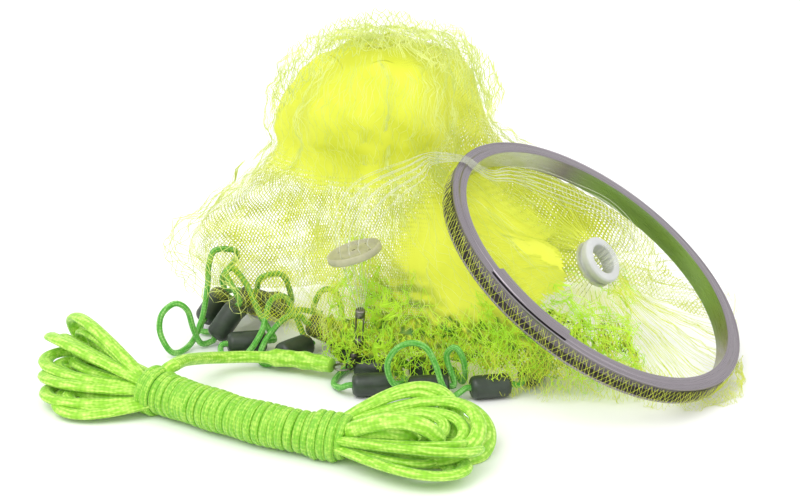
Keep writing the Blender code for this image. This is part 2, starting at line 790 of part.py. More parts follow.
def make_hank(layout, materials):
    hank = add_object("hank", hank_core(), materials["hand_line"], layout)
    axis = [Vector(point) for point in HANK_AXIS]
    ends = ((axis[0], axis[1], LEFT_BIGHTS), (axis[-1], axis[-2], RIGHT_BIGHTS))
    for end, before, bights in ends:
        inward = (before - end).normalized()
        side = inward.cross(Vector((0.0, 0.0, 1.0)))
        for k, (x, y, z, width, roll) in enumerate(bights):
            turn = 2 * math.pi * k / len(bights)
            root = end + inward * BIGHT_ROOT + side * 4.5 * math.cos(turn) + Vector((0, 0, 4.5 * math.sin(turn)))
            mesh = tube_mesh("bight", bight_route(root, (x, y, z), width, roll), HAND_LINE_DIAMETER, 6)
            combine(hank, mesh, "UNION", layout, "MANIFOLD")
    floor = closed_mesh("floor", *box_points((-320, -260, -40), (120, 80, 0)))
    combine(hank, floor, "DIFFERENCE", layout, "MANIFOLD")


def box_points(low, high):
    points = [(x, y, z) for x in (low[0], high[0]) for y in (low[1], high[1]) for z in (low[2], high[2])]
    faces = [(0, 1, 3, 2), (4, 6, 7, 5), (0, 4, 5, 1), (2, 3, 7, 6), (0, 2, 6, 4), (1, 5, 7, 3)]
    return points, faces


def make_tail(layout, materials):
    curve = tube_curve("hand_line_tail", smooth_route(TAIL_ROUTE, TAIL_SPACING), TAIL_DIAMETER, 8)
    add_object("hand_line_tail", curve, materials["hand_line"], layout)


# ---------------------------------------------------------------- netting


def cubic_through(table, places):
    """Catmull-Rom values of a table's rows at fractional row numbers."""
    table = np.asarray(table, float)
    padded = np.vstack([2 * table[0] - table[1], table, 2 * table[-1] - table[-2]])
    low = np.clip(np.floor(places).astype(int), 0, len(table) - 2)
    t = (places - low)[:, None]
    a, b, c, d = (padded[low + k] for k in range(4))
    return 0.5 * (2 * b + (c - a) * t + (2 * a - 5 * b + 4 * c - d) * t**2 + (3 * b - a - 3 * c + d) * t**3)


def around(values, directions):
    """Values given every 30 degrees, read at any direction by a periodic Catmull-Rom curve."""
    values = np.asarray(values, float)
    place = (np.asarray(directions) % 360.0) / 30.0
    low = np.floor(place).astype(int)
    t = place - low
    a, b, c, d = (values[..., (low + k) % 12] for k in (-1, 0, 1, 2))
    return 0.5 * (2 * b + (c - a) * t + (2 * a - 5 * b + 4 * c - d) * t**2 + (3 * b - a - 3 * c + d) * t**3)


def fold_depth(directions, heights):
    """How far the folds push the netting out at each direction and height."""
    depth = np.zeros(np.broadcast(directions, heights).shape)
    for direction, width, push, low, high in FOLDS:
        turn = (directions - direction + 180.0) % 360.0 - 180.0
        middle, half = (low + high) / 2, (high - low) / 2
        fade = np.clip(1.0 - ((heights - middle) / half) ** 4, 0.0, 1.0) if low else np.clip(
            1.5 * (1.0 - heights / high), 0.0, 1.0
        )
        depth += push * np.exp(-((turn / width) ** 2)) * fade
    return depth


def tuck_under_ring(points):
    """Pushes what would pass through the ring down behind it, and lets it rise again outside the rim."""
    normal = np.array(RING_POSE.to_3x3().col[2])
    centre = np.array(RING_CENTRE)
    offset = points - centre
    height = offset @ normal
    radius = np.linalg.norm(offset - height[..., None] * normal, axis=-1)
    ceiling = -RING_DEPTH - NETTING_CLEARANCE + RISE_SLOPE * np.maximum(radius - RING_OUTER_RADIUS - RISE_MARGIN, 0.0)
    return points - np.maximum(height - ceiling, 0.0)[..., None] * normal


def draw_to_horn(points):
    """Raises the netting around the horn to the plane of its groove."""
    normal = np.array(HORN_AXIS)
    offset = points - np.array(HORN_CENTRE)
    height = offset @ normal - NETTING_THICKNESS / 2
    radius = np.linalg.norm(offset - height[..., None] * normal, axis=-1)
    t = np.clip((74.0 - radius) / 44.0, 0.0, 1.0)
    share = t * t * (3.0 - 2.0 * t) * np.clip(2.0 - np.abs(height) / 25.0, 0.0, 1.0)
    return points - (share * height)[..., None] * normal


def netting_grid(columns, rows):
    """Points of the netting's outer face, rows from the hem to just below the crown."""
    directions = np.arange(columns) * 360.0 / columns
    places = np.linspace(0.0, len(HEAP_SECTIONS) - 1.0, rows)
    table = cubic_through(HEAP_SECTIONS, places)
    heights = table[:, 0][:, None]
    radii = around(table[:, 3:], directions) + fold_depth(directions[None, :], heights)
    lift = around(HEM_LIFT, directions)[None, :] * np.clip(1.0 - heights / HEM_LIFT_REACH, 0.0, 1.0)
    turn = np.radians(directions)[None, :]
    x = table[:, 1][:, None] + radii * np.cos(turn)
    y = table[:, 2][:, None] + radii * np.sin(turn)
    points = np.stack([x, y, heights + lift], axis=-1)
    return draw_to_horn(tuck_under_ring(points))


def grid_normals(points, crown):
    """Outward normals of the grid, whose columns close on themselves."""
    up = np.concatenate([points[1:], np.broadcast_to(crown, points[:1].shape)]) - np.concatenate(
        [points[:1], points[:-1]]
    )
    side = np.roll(points, -1, axis=1) - np.roll(points, 1, axis=1)
    normals = np.cross(side, up)
    return normals / np.linalg.norm(normals, axis=-1, keepdims=True)


def make_netting(layout, materials):
    """A thin closed shell: the outer face, the same face moved in by the thickness, and the hem's edge."""
    crown = np.array(CROWN)
    outer = netting_grid(NETTING_COLUMNS, NETTING_ROWS)
    inner = outer - NETTING_THICKNESS * grid_normals(outer, crown)
    outer[..., 2] = np.maximum(outer[..., 2], NETTING_THICKNESS)
    inner[..., 2] = np.maximum(inner[..., 2], 0.0)
    columns, rows = NETTING_COLUMNS, NETTING_ROWS
    points = [*outer.reshape(-1, 3), crown, *inner.reshape(-1, 3), crown - (0, 0, NETTING_THICKNESS)]
    skin = columns * rows + 1
    faces = []
    for k in range(columns):
        after = (k + 1) % columns
        for row in range(rows - 1):
            low, high = row * columns, (row + 1) * columns
            faces.append((low + k, low + after, high + after, high + k))
            faces.append((skin + low + k, skin + high + k, skin + high + after, skin + low + after))
        top = (rows - 1) * columns
        faces.append((top + k, top + after, skin - 1))
        faces.append((skin + top + k, 2 * skin - 1, skin + top + after))
        faces.append((k, skin + k, skin + after, after))
    netting = add_object("netting", closed_mesh("netting", points, faces, 180.0), materials["netting"], layout)
    reach = HORN_AXIS * 14.0
    hole = tube_mesh("horn_hole", (HORN_CENTRE - reach, HORN_CENTRE + reach), 2 * (HORN_WAIST_RADIUS + 0.5), 24)
    combine(netting, hole, "DIFFERENCE", layout)


def main():
    for thing in list(bpy.data.objects):
        bpy.data.objects.remove(thing)
    layout = bpy.data.objects.new("layout", None)
    layout.location = Vector(LAYOUT_SHIFT) * MM
    bpy.context.collection.objects.link(layout)
    materials = make_materials()
    makers = (
        make_netting,
        make_ring,
        make_ring_sleeve,
        make_lashing,
        make_horn,
        make_plate,
        make_brails,
        make_leader,
        make_swivel,
        make_lead_line,
        make_hank,
        make_tail,
    )
    for maker in makers:
        maker(layout, materials)


main()
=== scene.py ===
"""Dressed model of a cast net that lies in a heap, with its throwing ring, lead line and hand line.

Lengths are in millimetres in the layout's own frame, which SHIFT and MM bring into the part's frame.
"""

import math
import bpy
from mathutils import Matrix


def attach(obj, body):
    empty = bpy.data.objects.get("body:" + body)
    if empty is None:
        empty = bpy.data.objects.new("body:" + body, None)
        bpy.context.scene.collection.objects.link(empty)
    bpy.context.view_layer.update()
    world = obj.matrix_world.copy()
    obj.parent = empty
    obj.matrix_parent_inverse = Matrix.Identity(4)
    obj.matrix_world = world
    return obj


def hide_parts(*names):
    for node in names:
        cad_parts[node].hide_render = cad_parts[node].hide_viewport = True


bl_info = {
    "name": "Cast Net Heap",
    "version": (1, 0, 0),
    "blender": (4, 5, 0),
    "location": "View3D > Sidebar > Cast Net",
    "description": "Builds the netting, ring, ropes and fittings of a cast net around its solid model",
    "category": "Add Mesh",
}

import bmesh
import bpy
import numpy as np
from bpy.props import FloatProperty, FloatVectorProperty, PointerProperty

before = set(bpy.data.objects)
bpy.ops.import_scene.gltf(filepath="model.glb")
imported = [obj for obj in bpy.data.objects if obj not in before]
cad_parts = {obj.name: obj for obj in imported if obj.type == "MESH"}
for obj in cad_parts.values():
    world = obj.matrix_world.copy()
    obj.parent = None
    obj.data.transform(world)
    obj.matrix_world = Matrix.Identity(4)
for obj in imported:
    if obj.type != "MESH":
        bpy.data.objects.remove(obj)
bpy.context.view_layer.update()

MM = 0.001
SHIFT = np.array((4.1, -14.39, 0.0))
BODY = "heap"
UP = np.array((0.0, 0.0, 1.0))


# ---------------------------------------------------------------- sizes shared with the solid model

TWINE = 0.32
RING_OUTER = 127.0
RING_INNER = 115.5
RING_DEPTH = 15.5
RING_WALL = 2.0
RING_CENTRE = np.array((147.5, 21.4, 88.2))
RING_SLOPE = 34.36
RING_HEADING = 65.45
SLEEVE_ANGLES = (158.5, 191.5)

HORN_RIM = 18.5
HORN_BORE = 11.5
HORN_WAIST = 15.4
HORN_FRONT = 8.0
HORN_BACK = 4.5
HORN_GROOVE = 4.2
HORN_ON_RING = np.array((30.0, 3.0, -18.5))
HORN_AXIS = np.array((0.688, -0.4435, 0.574))

PLATE_CENTRE = np.array((-33.0, -12.0, 107.0))
PLATE_AXIS = np.array((-0.295, 0.033, 0.954))
PLATE_THICKNESS = 5.5
PLATE_HOLE_CIRCLE = 13.6

BRAIL_COUNT = 8
CRIMP_TOP = np.array((-29.0, -7.0, 60.5))

LEAD_LINE_DIAMETER = 4.6
SINKER_LENGTH = 30.0
SINKER_RADIUS = 8.7
HAND_LINE_DIAMETER = 7.0

# How far behind the ring the netting stays, and how it rises again outside the rim.
CLEARANCE = 2.3
RISE_MARGIN = 12.0
RISE_SLOPE = 1.6
CROWN = np.array((-12.0, 92.0, 255.0))
# How far the hem is off the ground, every 30 degrees from x, fading out at the given height.
HEM_LIFT = (0, 0, 0, 0, 0, 10, 36, 22, 20, 22, 16, 0)
HEM_LIFT_REACH = 80.0

HANK_AXIS = ((-180, -51, 16.4), (-147, -76, 16.4), (-112, -101, 16.4), (-76, -121, 16.4), (-36, -137, 16.4))
HANK_RADIUS = 15.4
HANK_TURNS = 28
# Collars of the hank. Columns: first and last turn, extra radius.
HANK_COLLARS = ((0, 2.0, 2.8), (23.8, 27.2, 2.6))
BIGHT_STEPS = 13
BIGHT_ROOT = 9.0
BIGHT_ROOT_RADIUS = 4.5
BIGHT_PARTING = 9.0

# Level sections of the heap. Columns: height, centre x and y, then the radius every 30 degrees from x.
HEAP_SECTIONS = (
    (2, 20, 90, 240, 196, 146, 112, 126, 154, 177, 110, 100, 102, 127, 238),
    (30, 20, 90, 236, 198, 143, 108, 124, 155, 184, 114, 97, 97, 122, 232),
    (60, 15, 90, 215, 194, 140, 102, 118, 150, 190, 118, 92, 89, 112, 205),
    (88, 8, 90, 180, 180, 134, 96, 110, 144, 178, 115, 84, 80, 100, 165),
    (112, 0, 90, 135, 150, 126, 92, 103, 125, 144, 98, 74, 68, 88, 120),
    (150, -8, 92, 82, 108, 104, 88, 88, 92, 95, 76, 58, 54, 58, 62),
    (172, -10, 92, 62, 96, 94, 84, 84, 86, 88, 76, 64, 62, 54, 50),
    (200, -10, 92, 62, 88, 86, 80, 80, 80, 80, 76, 70, 68, 62, 56),
    (225, -10, 92, 58, 74, 72, 66, 66, 66, 66, 62, 57, 56, 56, 54),
    (243, -11, 92, 38, 44, 44, 42, 42, 44, 47, 44, 40, 38, 37, 36),
    (252, -12, 92, 20, 20, 20, 20, 20, 20, 20, 20, 20, 20, 20, 20),
)

# Folds. Columns: direction and half width in degrees, push outward, lowest and highest height. A fold whose
# lowest height is 0 is deepest at the ground.
FOLDS = (
    (6, 6, 9, 0, 80),
    (19, 6, -12, 0, 125),
    (34, 7, 13, 0, 140),
    (50, 6, -12, 0, 150),
    (64, 7, 14, 0, 160),
    (80, 6, -14, 0, 165),
    (95, 7, 13, 0, 150),
    (111, 6, -14, 0, 150),
    (127, 7, 13, 0, 140),
    (143, 6, -13, 0, 130),
    (157, 6, 11, 0, 130),
    (170, 5, -9, 10, 130),
    (180, 5, 7, 20, 120),
    (190, 5, -8, 10, 125),
    (203, 6, 8, 30, 130),
    (222, 7, -10, 10, 125),
    (243, 7, -4, 10, 110),
    (258, 6, 8, 30, 120),
    (274, 6, -6, 10, 110),
    (290, 7, 9, 0, 110),
    (307, 7, -10, 0, 90),
    (323, 6, 10, 0, 70),
    (337, 6, -7, 0, 50),
    (20, 13, -9, 140, 240),
    (48, 12, 8, 150, 245),
    (84, 12, -10, 140, 240),
    (118, 13, 8, 150, 245),
    (152, 11, -9, 140, 240),
    (178, 10, 5, 150, 240),
    (200, 10, -11, 145, 235),
    (232, 14, 8, 165, 245),
    (270, 11, -9, 155, 240),
    (304, 13, 6, 165, 240),
)

# The lead line's way. A bend gives x, y, z; a weight gives its middle's x, y, z, then its heading and its
# rise in degrees.
LEAD_LINE = (
    ("bend", -62, 128, 4),
    ("bend", -78, 124, 9),
    ("sinker", -103, 116, 17, 160, 12),
    ("bend", -128, 124, 26),
    ("bend", -139, 133, 20),
    ("bend", -132, 139, 11),
    ("sinker", -108, 139, 9, 8, 0),
    ("bend", -86, 130, 16),
    ("bend", -92, 114, 42),
    ("bend", -108, 104, 44),
    ("sinker", -125, 101, 22, 205, -38),
    ("bend", -144, 90, 5),
    ("bend", -155, 92, 4),
    ("sinker", -147, 112, 17, 60, 28),
    ("bend", -140, 128, 36),
    ("bend", -128, 116, 56),
    ("bend", -129, 103, 67),
    ("bend", -143, 97, 69),
    ("bend", -148, 95, 57),
    ("bend", -149, 89, 42),
    ("bend", -153, 78, 20),
    ("bend", -161, 62, 5),
    ("bend", -173, 45, 5),
    ("bend", -182, 46, 20),
    ("bend", -181, 50, 34),
    ("bend", -171, 53, 42),
    ("bend", -162, 55, 36),
    ("bend", -158, 57, 20),
    ("bend", -153, 64, 5),
    ("sinker", -134, 74, 19, 20, 52),
    ("bend", -127, 78, 43),
    ("bend", -134, 84, 55),
    ("bend", -128, 88, 57),
    ("bend", -118, 86, 44),
    ("bend", -108, 76, 24),
    ("bend", -97, 66, 9),
    ("sinker", -117, 55, 9.5, 192, 0),
    ("bend", -137, 50, 7),
    ("bend", -134, 42, 5),
    ("bend", -118, 40, 5),
    ("bend", -105, 46, 22),
    ("bend", -99, 62, 40),
    ("bend", -88, 72, 40),
    ("bend", -80, 69, 25),
    ("bend", -72, 60, 9),
    ("sinker", -80, 41, 9.5, 225, 0),
    ("bend", -98, 27, 3),
    ("bend", -106, 33, 4),
    ("bend", -102, 42, 16),
    ("bend", -88, 52, 30),
    ("bend", -76, 58, 30),
    ("sinker", -57, 63, 16, 20, -30),
    ("bend", -37, 76, 5),
    ("bend", -44, 88, 7),
    ("bend", -60, 88, 12),
    ("bend", -67, 82, 26),
    ("bend", -60, 80, 42),
    ("bend", -50, 76, 43),
    ("bend", -45, 64, 34),
    ("bend", -46, 56, 26),
    ("sinker", -43, 38, 15, 310, -30),
    ("bend", -38, 20, 4),
    ("bend", -46, 6, 3),
    ("bend", -49, -10, 3),
    ("bend", -44, -22, 5),
    ("sinker", -20, -26, 9.2, 4, 0),
    ("bend", 2, -21, 8),
    ("bend", 5, -12, 5),
    ("bend", 2, -1, 5),
    ("sinker", -19, 6, 9.2, 170, 0),
    ("bend", -37, 16, 12),
    ("bend", -24, 23, 22),
    ("bend", -6, 20, 14),
    ("sinker", 22, 5, 9.5, -12, 0),
    ("bend", 43, -3, 6),
    ("bend", 46, -13, 6),
    ("bend", 48, -20, 15),
    ("bend", 46, -24, 29),
    ("bend", 40, -24, 38),
    ("bend", 34, -22, 30),
    ("bend", 39, -26, 14),
    ("sinker", 21, -30, 9.2, 184, 0),
    ("bend", 0, -35, 10),
    ("bend", -7, -37, 18),
    ("bend", -9, -38, 31),
    ("bend", -3, -38, 42),
    ("bend", 8, -38, 47),
    ("bend", 19, -38, 43),
    ("bend", 26, -40, 30),
    ("bend", 31, -42, 15),
    ("bend", 38, -40, 6),
    ("sinker", 66, -29, 9.2, 12, 0),
    ("bend", 87, -24, 8),
    ("sinker", 100, 0, 9.2, 62, 0),
    ("bend", 112, 20, 8),
    ("bend", 113, 36, 5),
    ("bend", 104, 52, 5),
)

# What the brail lines pass between the plate and the ring. Columns: the place of the line at one side of the
# bundle, that of the line at its other side, and how far the two rows of lines part in y.
BRAILS_TO_RING = (
    (-48, -6, 136, -13, -1, 130, 9.0),
    (-32, 9, 154, 2, 12, 142, 5.0),
    (2, 28, 163, 19, 24, 152, 2.5),
    (23, 43, 166, 24, 29, 160, 0.0),
)

# The same from the ring on, in the ring's own frame, where the rows part along its normal.
BRAILS_ON_RING = (
    (-11.8, 125.4, 0.6, -24.0, 123.6, 0.6, 0.0),
    (-9.5, 115.6, 1.0, -21.5, 114.0, 1.0, 0.0),
    (1, 104, -0.4, -13, 99, -0.4, 0.6),
    (22, 100, -1, 13, 86, -2, 0.9),
    (50, 82, -3, 35, 64, -4, 0.9),
    (78, 54, -5, 58, 41, -6, 0.9),
    (95, 29, -6, 72, 24, -6, 0.9),
    (92, 4, -6, 66, 10, -5, 0.9),
    (70, -11, -3, 52, 5, -2, 0.9),
    (40, -12, 1, 37, 6, 1, 0.0),
    (27, -8, -10, 31, 8, -12, 0.0),
    (28, -5, -18, 32, 10, -19, 0.0),
    (27, -6, -32, 36, 14, -34, 0.0),
    (25, -8, -48, 40, 20, -50, 0.0),
)

# Bights at the hank's two ends. Columns: the tip's x, y, z, the width, and the roll in degrees.
LEFT_BIGHTS = (
    (-243, 20, 38, 34, 68),
    (-256, 10, 31, 34, 35),
    (-258, -6, 24, 36, 0),
    (-258, -22, 17, 36, 8),
    (-256, -38, 10, 34, 0),
    (-246, -54, 8, 30, -10),
)

RIGHT_BIGHTS = (
    (62, -118, 13, 50, 28),
    (40, -124, 28, 42, 50),
    (54, -144, 28, 42, 30),
    (52, -160, 18, 40, -18),
    (42, -175, 10, 40, -6),
    (24, -164, 32, 38, -50),
)

# The hand line's way out from under the collar, as far as the loose end's start.
TAIL_LEAD = (
    (-174, -58, 19),
    (-171, -54, 27),
    (-167.5, -50, 31.4),
    (-163.8, -46, 32.4),
    (-162.6, -42, 31.8),
)

# The loose end, from the collar to the split ring.
TAIL_ROUTE = (
    (-163.8, -46, 32.4),
    (-158, -28, 29),
    (-147, -2, 20),
    (-133, 14, 14),
    (-112, 20, 12),
    (-84, 18, 11.5),
    (-64, 10, 12),
    (-50.7, 2.6, 12.4),
)


# ---------------------------------------------------------------- curves and frames


CURVE_STEPS = 24
RIPPLE_WAVES = 7
RIPPLE_SIZE = 2.2


def unit(vectors):
    """Each vector divided by its length."""
    return vectors / np.maximum(np.linalg.norm(vectors, axis=-1, keepdims=True), 1e-9)


def upright_frame(axis, towards=(0.0, 1.0, 0.0)):
    """Columns x, y and z of a frame whose z lies along axis, with y as near to towards as it can be."""
    z = unit(np.asarray(axis, float))
    x = unit(np.cross(np.asarray(towards, float), z))
    return np.stack([x, np.cross(z, x), z], axis=1)


def ring_frame():
    """Columns: level direction in the ring's plane, up-slope direction, and the normal."""
    heading, slope = math.radians(RING_HEADING), math.radians(RING_SLOPE)
    level = np.array((math.cos(heading), math.sin(heading), 0.0))
    side = np.array((-math.sin(heading), math.cos(heading), 0.0))
    normal = math.cos(slope) * UP - math.sin(slope) * side
    return np.stack([level, math.cos(slope) * side + math.sin(slope) * UP, normal], axis=1)


RING = ring_frame()
HORN_CENTRE = RING_CENTRE + RING @ HORN_ON_RING
HORN = upright_frame(HORN_AXIS)
PLATE = upright_frame(PLATE_AXIS)


def catmull(a, b, c, d, t):
    """A point at share t from b to c of the Catmull-Rom curve through a, b, c and d."""
    square, cube = (2 * a - 5 * b + 4 * c - d) * t**2, (3 * b - a - 3 * c + d) * t**3
    return 0.5 * (2 * b + (c - a) * t + square + cube)


def smooth_route(points, spacing):
    """A Catmull-Rom curve through the points, read at even steps of its length."""
    p = np.asarray(points, float)
    p = np.vstack([2 * p[0] - p[1], p, 2 * p[-1] - p[-2]])
    t = np.linspace(0.0, 1.0, CURVE_STEPS, endpoint=False)[None, :, None]
    curve = catmull(p[:-3, None], p[1:-2, None], p[2:-1, None], p[3:, None], t)
    curve = np.vstack([curve.reshape(-1, 3), p[-2]])
    length = np.concatenate([[0.0], np.cumsum(np.linalg.norm(np.diff(curve, axis=0), axis=1))])
    at = np.linspace(0.0, length[-1], max(3, round(length[-1] / spacing) + 1))
    return np.stack([np.interp(at, length, curve[:, k]) for k in range(3)], axis=-1)


def route_length(route):
    """The sum of the lengths of a route's steps."""
    return float(np.linalg.norm(np.diff(route, axis=0), axis=1).sum())


def carried_frames(route):
    """Two cross directions at each point of a route, turned as little as possible from those before.

    Each across is the one before it less its part along the route, made a unit vector again, and up stands
    square to it and to the route.
    """
    tangent = unit(np.gradient(route, axis=0))
    start = UP if abs(tangent[0, 2]) < 0.9 else np.array((1.0, 0.0, 0.0))
    across = [unit(np.cross(tangent[0], start))]
    for along in tangent[1:]:
        across.append(unit(across[-1] - (across[-1] @ along) * along))
    across = np.array(across)
    return across, np.cross(tangent, across)


def ripple(points, wavelength, seed):
    """Smooth values of about unit size: a sum of sine waves of seeded directions, lengths and phases."""
    rng = np.random.default_rng(seed)
    total = np.zeros(points.shape[:-1])
    for _ in range(RIPPLE_WAVES):
        wave = unit(rng.normal(size=points.shape[-1])) * 2 * math.pi / (wavelength * rng.uniform(0.7, 1.5))
        total += np.sin(points @ wave + rng.uniform(0.0, 2 * math.pi))
    return total / RIPPLE_SIZE


# ---------------------------------------------------------------- meshes


def grid_faces(rows, columns, wrap_rows=False, wrap_columns=True):
    """Quads of a grid of points, and each corner's row and column before it is wrapped.

    A quad's corners are (row, column), (row, column + 1), (row + 1, column + 1) and (row + 1, column).
    """
    r = np.arange(rows if wrap_rows else rows - 1)[:, None]
    c = np.arange(columns if wrap_columns else columns - 1)[None, :]
    r, c = np.broadcast_arrays(r, c)
    corner_rows = np.stack([r, r, r + 1, r + 1], axis=-1).reshape(-1)
    corner_columns = np.stack([c, c + 1, c + 1, c], axis=-1).reshape(-1)
    quads = (corner_rows % rows) * columns + corner_columns % columns
    return quads.reshape(-1, 4), corner_rows, corner_columns


def add_piece(name, points, quads, material, triangles=(), corner_uv=None, sharp=None, flat=False):
    """A mesh object at the origin from layout points, with its UV map if one is given."""
    quads = np.asarray(quads, np.int32).reshape(-1, 4)
    triangles = np.asarray(triangles, np.int32).reshape(-1, 3)
    loops = np.concatenate([quads.ravel(), triangles.ravel()]).astype(np.int32)
    sizes = np.concatenate([np.full(len(quads), 4), np.full(len(triangles), 3)])
    starts = np.concatenate([[0], np.cumsum(sizes)[:-1]]).astype(np.int32)
    mesh = bpy.data.meshes.new(name)
    mesh.vertices.add(len(points))
    places = (np.asarray(points, float) + SHIFT) * MM
    mesh.vertices.foreach_set("co", places.astype(np.float32).ravel())
    mesh.loops.add(len(loops))
    mesh.loops.foreach_set("vertex_index", loops)
    mesh.polygons.add(len(sizes))
    mesh.polygons.foreach_set("loop_start", starts)
    mesh.update(calc_edges=True)
    if corner_uv is not None:
        layer = mesh.uv_layers.new(name="UVMap")
        layer.data.foreach_set("uv", np.asarray(corner_uv, np.float32).ravel())
    mesh.polygons.foreach_set("use_smooth", np.full(len(sizes), not flat))
    if sharp is not None:
        mesh.set_sharp_from_angle(angle=math.radians(sharp))
    mesh.materials.append(material)
    mesh.validate()
    thing = bpy.data.objects.new(name, mesh)
    bpy.context.collection.objects.link(thing)
    return thing


def merged(parts):
    """Several shapes as one. Each part holds its points and one or more arrays of faces."""
    starts = np.cumsum([0, *(len(part[0]) for part in parts[:-1])])
    faces = [np.vstack([face + start for face, start in zip(kind, starts)]) for kind in list(zip(*parts))[1:]]
    return (np.vstack([part[0] for part in parts]), *faces)


def swept(route, section, frames=None):
    """A section of (across, up) points, one for all or one for each route point, carried along a route.

    Each point is route + across * x + up * y, and both ends are closed by fans. Gives points, quads,
    triangles and corner UVs, whose u is the length along the route in metres and v goes once round the
    section.
    """
    across, up = frames or carried_frames(route)
    section = np.broadcast_to(section, (len(route), *np.shape(section)[-2:]))
    rings = route[:, None] + across[:, None] * section[..., :1] + up[:, None] * section[..., 1:]
    rows, columns = rings.shape[:2]
    quads, corner_rows, corner_columns = grid_faces(rows, columns)
    steps = np.linalg.norm(np.diff(route, axis=0), axis=1)
    along = np.concatenate([[0.0], np.cumsum(steps)])
    uv = np.stack([along[corner_rows] * MM, corner_columns / columns], axis=-1)
    points = np.vstack([rings.reshape(-1, 3), route[:1], route[-1:]])
    first_middle, last_middle = rows * columns, rows * columns + 1
    k = np.arange(columns)
    after = (k + 1) % columns
    last = (rows - 1) * columns
    first_fan = np.stack([np.full(columns, first_middle), after, k], axis=-1)
    last_fan = np.stack([np.full(columns, last_middle), last + k, last + after], axis=-1)
    caps = np.concatenate([first_fan, last_fan])
    return points, quads, caps, np.vstack([uv, np.zeros((caps.size, 2))])


def oval(width, height, sides):
    """An ellipse's points: half the width times the cosine across, half the height times the sine up."""
    angle = 2 * math.pi * np.arange(sides) / sides
    return np.stack([width / 2 * np.cos(angle), height / 2 * np.sin(angle)], axis=-1)


def turned(profile, segments, centre, axes, angles=None):
    """A closed profile of (radius, height) points turned about the frame's z.

    It goes all the way round, or between two angles in degrees, where it is closed by fans.
    """
    profile = np.asarray(profile, float)
    area = profile[:, 0] @ np.roll(profile[:, 1], -1) - profile[:, 1] @ np.roll(profile[:, 0], -1)
    profile = profile[::-1] if area > 0 else profile
    whole = angles is None
    steps = segments if whole else segments + 1
    first, last = (0.0, 360.0) if whole else angles
    turn = np.radians(first + (last - first) * np.arange(steps) / segments)
    radial = np.cos(turn)[:, None] * axes[:, 0] + np.sin(turn)[:, None] * axes[:, 1]
    points = centre + radial[:, None] * profile[None, :, :1] + axes[:, 2] * profile[None, :, 1:]
    quads, corner_rows, corner_columns = grid_faces(steps, len(profile), wrap_rows=whole)
    edge = np.linalg.norm(np.roll(profile, -1, 0) - profile, axis=1)
    around = np.concatenate([[0.0], np.cumsum(edge)])
    arc = math.radians(last - first) * profile[:, 0].max() / segments
    uv = np.stack([corner_rows * arc, around[corner_columns]], axis=-1) * MM
    triangles = np.zeros((0, 3), int)
    if not whole:
        count = len(profile)
        k = np.arange(1, count - 1)
        base = segments * count
        first_fan = np.stack([0 * k, k + 1, k], axis=-1)
        last_fan = np.stack([base + 0 * k, base + k, base + k + 1], axis=-1)
        triangles = np.vstack([first_fan, last_fan])
        uv = np.vstack([uv, np.zeros((triangles.size, 2))])
    return points.reshape(-1, 3), quads, triangles, uv


def rounded(profile, amount):
    """The closed profile with three points for each corner, on a curve that starts amount before it.

    Each is the quadratic mix of the curve's start, the corner and the curve's end.
    """
    corner = np.asarray(profile, float)
    before, after = np.roll(corner, 1, 0) - corner, np.roll(corner, -1, 0) - corner
    reach = [np.minimum(amount, 0.4 * np.linalg.norm(side, axis=1))[:, None] for side in (before, after)]
    start, end = corner + unit(before) * reach[0], corner + unit(after) * reach[1]
    t = np.array((0.0, 0.5, 1.0))[None, :, None]
    curve = (1 - t) ** 2 * start[:, None] + 2 * t * (1 - t) * corner[:, None] + t**2 * end[:, None]
    return curve.reshape(-1, 2)


CLOSED_END = 0.02


def strands(lines, normals, keep, diameter):
    """Three-sided twine along many lines at once.

    lines and normals are (line, point, xyz) arrays and keep says which stretches are made. A stretch's
    corners are the line's point plus the twine's radius along the normal and along two directions a third of
    a turn on, and the radius is nearly nothing where a kept run ends, which closes it.
    """
    tangent = unit(np.gradient(lines, axis=1))
    side = unit(np.cross(tangent, normals))
    rise = np.cross(side, tangent)
    angle = 2 * math.pi * np.arange(3) / 3 + math.pi / 2
    edge = np.zeros((len(lines), 1), bool)
    inside = np.hstack([edge, keep]) & np.hstack([keep, edge])
    radius = np.where(inside, diameter / 2, CLOSED_END * diameter)[..., None, None]
    around = side[..., None, :] * np.cos(angle)[:, None] + rise[..., None, :] * np.sin(angle)[:, None]
    points = lines[..., None, :] + radius * around
    line, place = np.nonzero(keep)
    first = (line * lines.shape[1] + place) * 3
    k = np.arange(3)
    after = (k + 1) % 3
    first = first[:, None]
    quads = np.stack([first + k, first + 3 + k, first + 3 + after, first + after], axis=-1)
    used, quads = np.unique(quads.reshape(-1, 4), return_inverse=True)
    return points.reshape(-1, 3)[used], quads.reshape(-1, 4)


# ---------------------------------------------------------------- the heap's surface


HEAP_COLUMNS = 720
HEAP_ROWS = 220
CROWN_ROWS = 8
# The netting is drawn to the horn from this far on, fully so after this distance more, and less where it is
# higher or lower than the groove's plane by more than the height.
DRAWN_FROM = 74.0
DRAWN_OVER = 44.0
DRAWN_HEIGHT = 25.0


def around_heap(values, directions):
    """Rows of values given every 30 degrees, read at any direction by a periodic Catmull-Rom curve."""
    place = (np.asarray(directions) % 360.0) / 30.0
    low = np.floor(place).astype(int)
    a, b, c, d = (np.asarray(values, float)[..., (low + k) % 12] for k in (-1, 0, 1, 2))
    return catmull(a, b, c, d, place - low)


def fold_depth(directions, heights):
    """How far the folds push the netting out: a bell across each fold, faded towards its ends."""
    depth = np.zeros(np.broadcast(directions, heights).shape)
    for direction, width, push, low, high in FOLDS:
        turn = (directions - direction + 180.0) % 360.0 - 180.0
        if low:
            fade = 1.0 - ((heights - (low + high) / 2) / ((high - low) / 2)) ** 4
        else:
            fade = 1.5 * (1.0 - heights / high)
        depth += push * np.exp(-((turn / width) ** 2)) * np.clip(fade, 0.0, 1.0)
    return depth


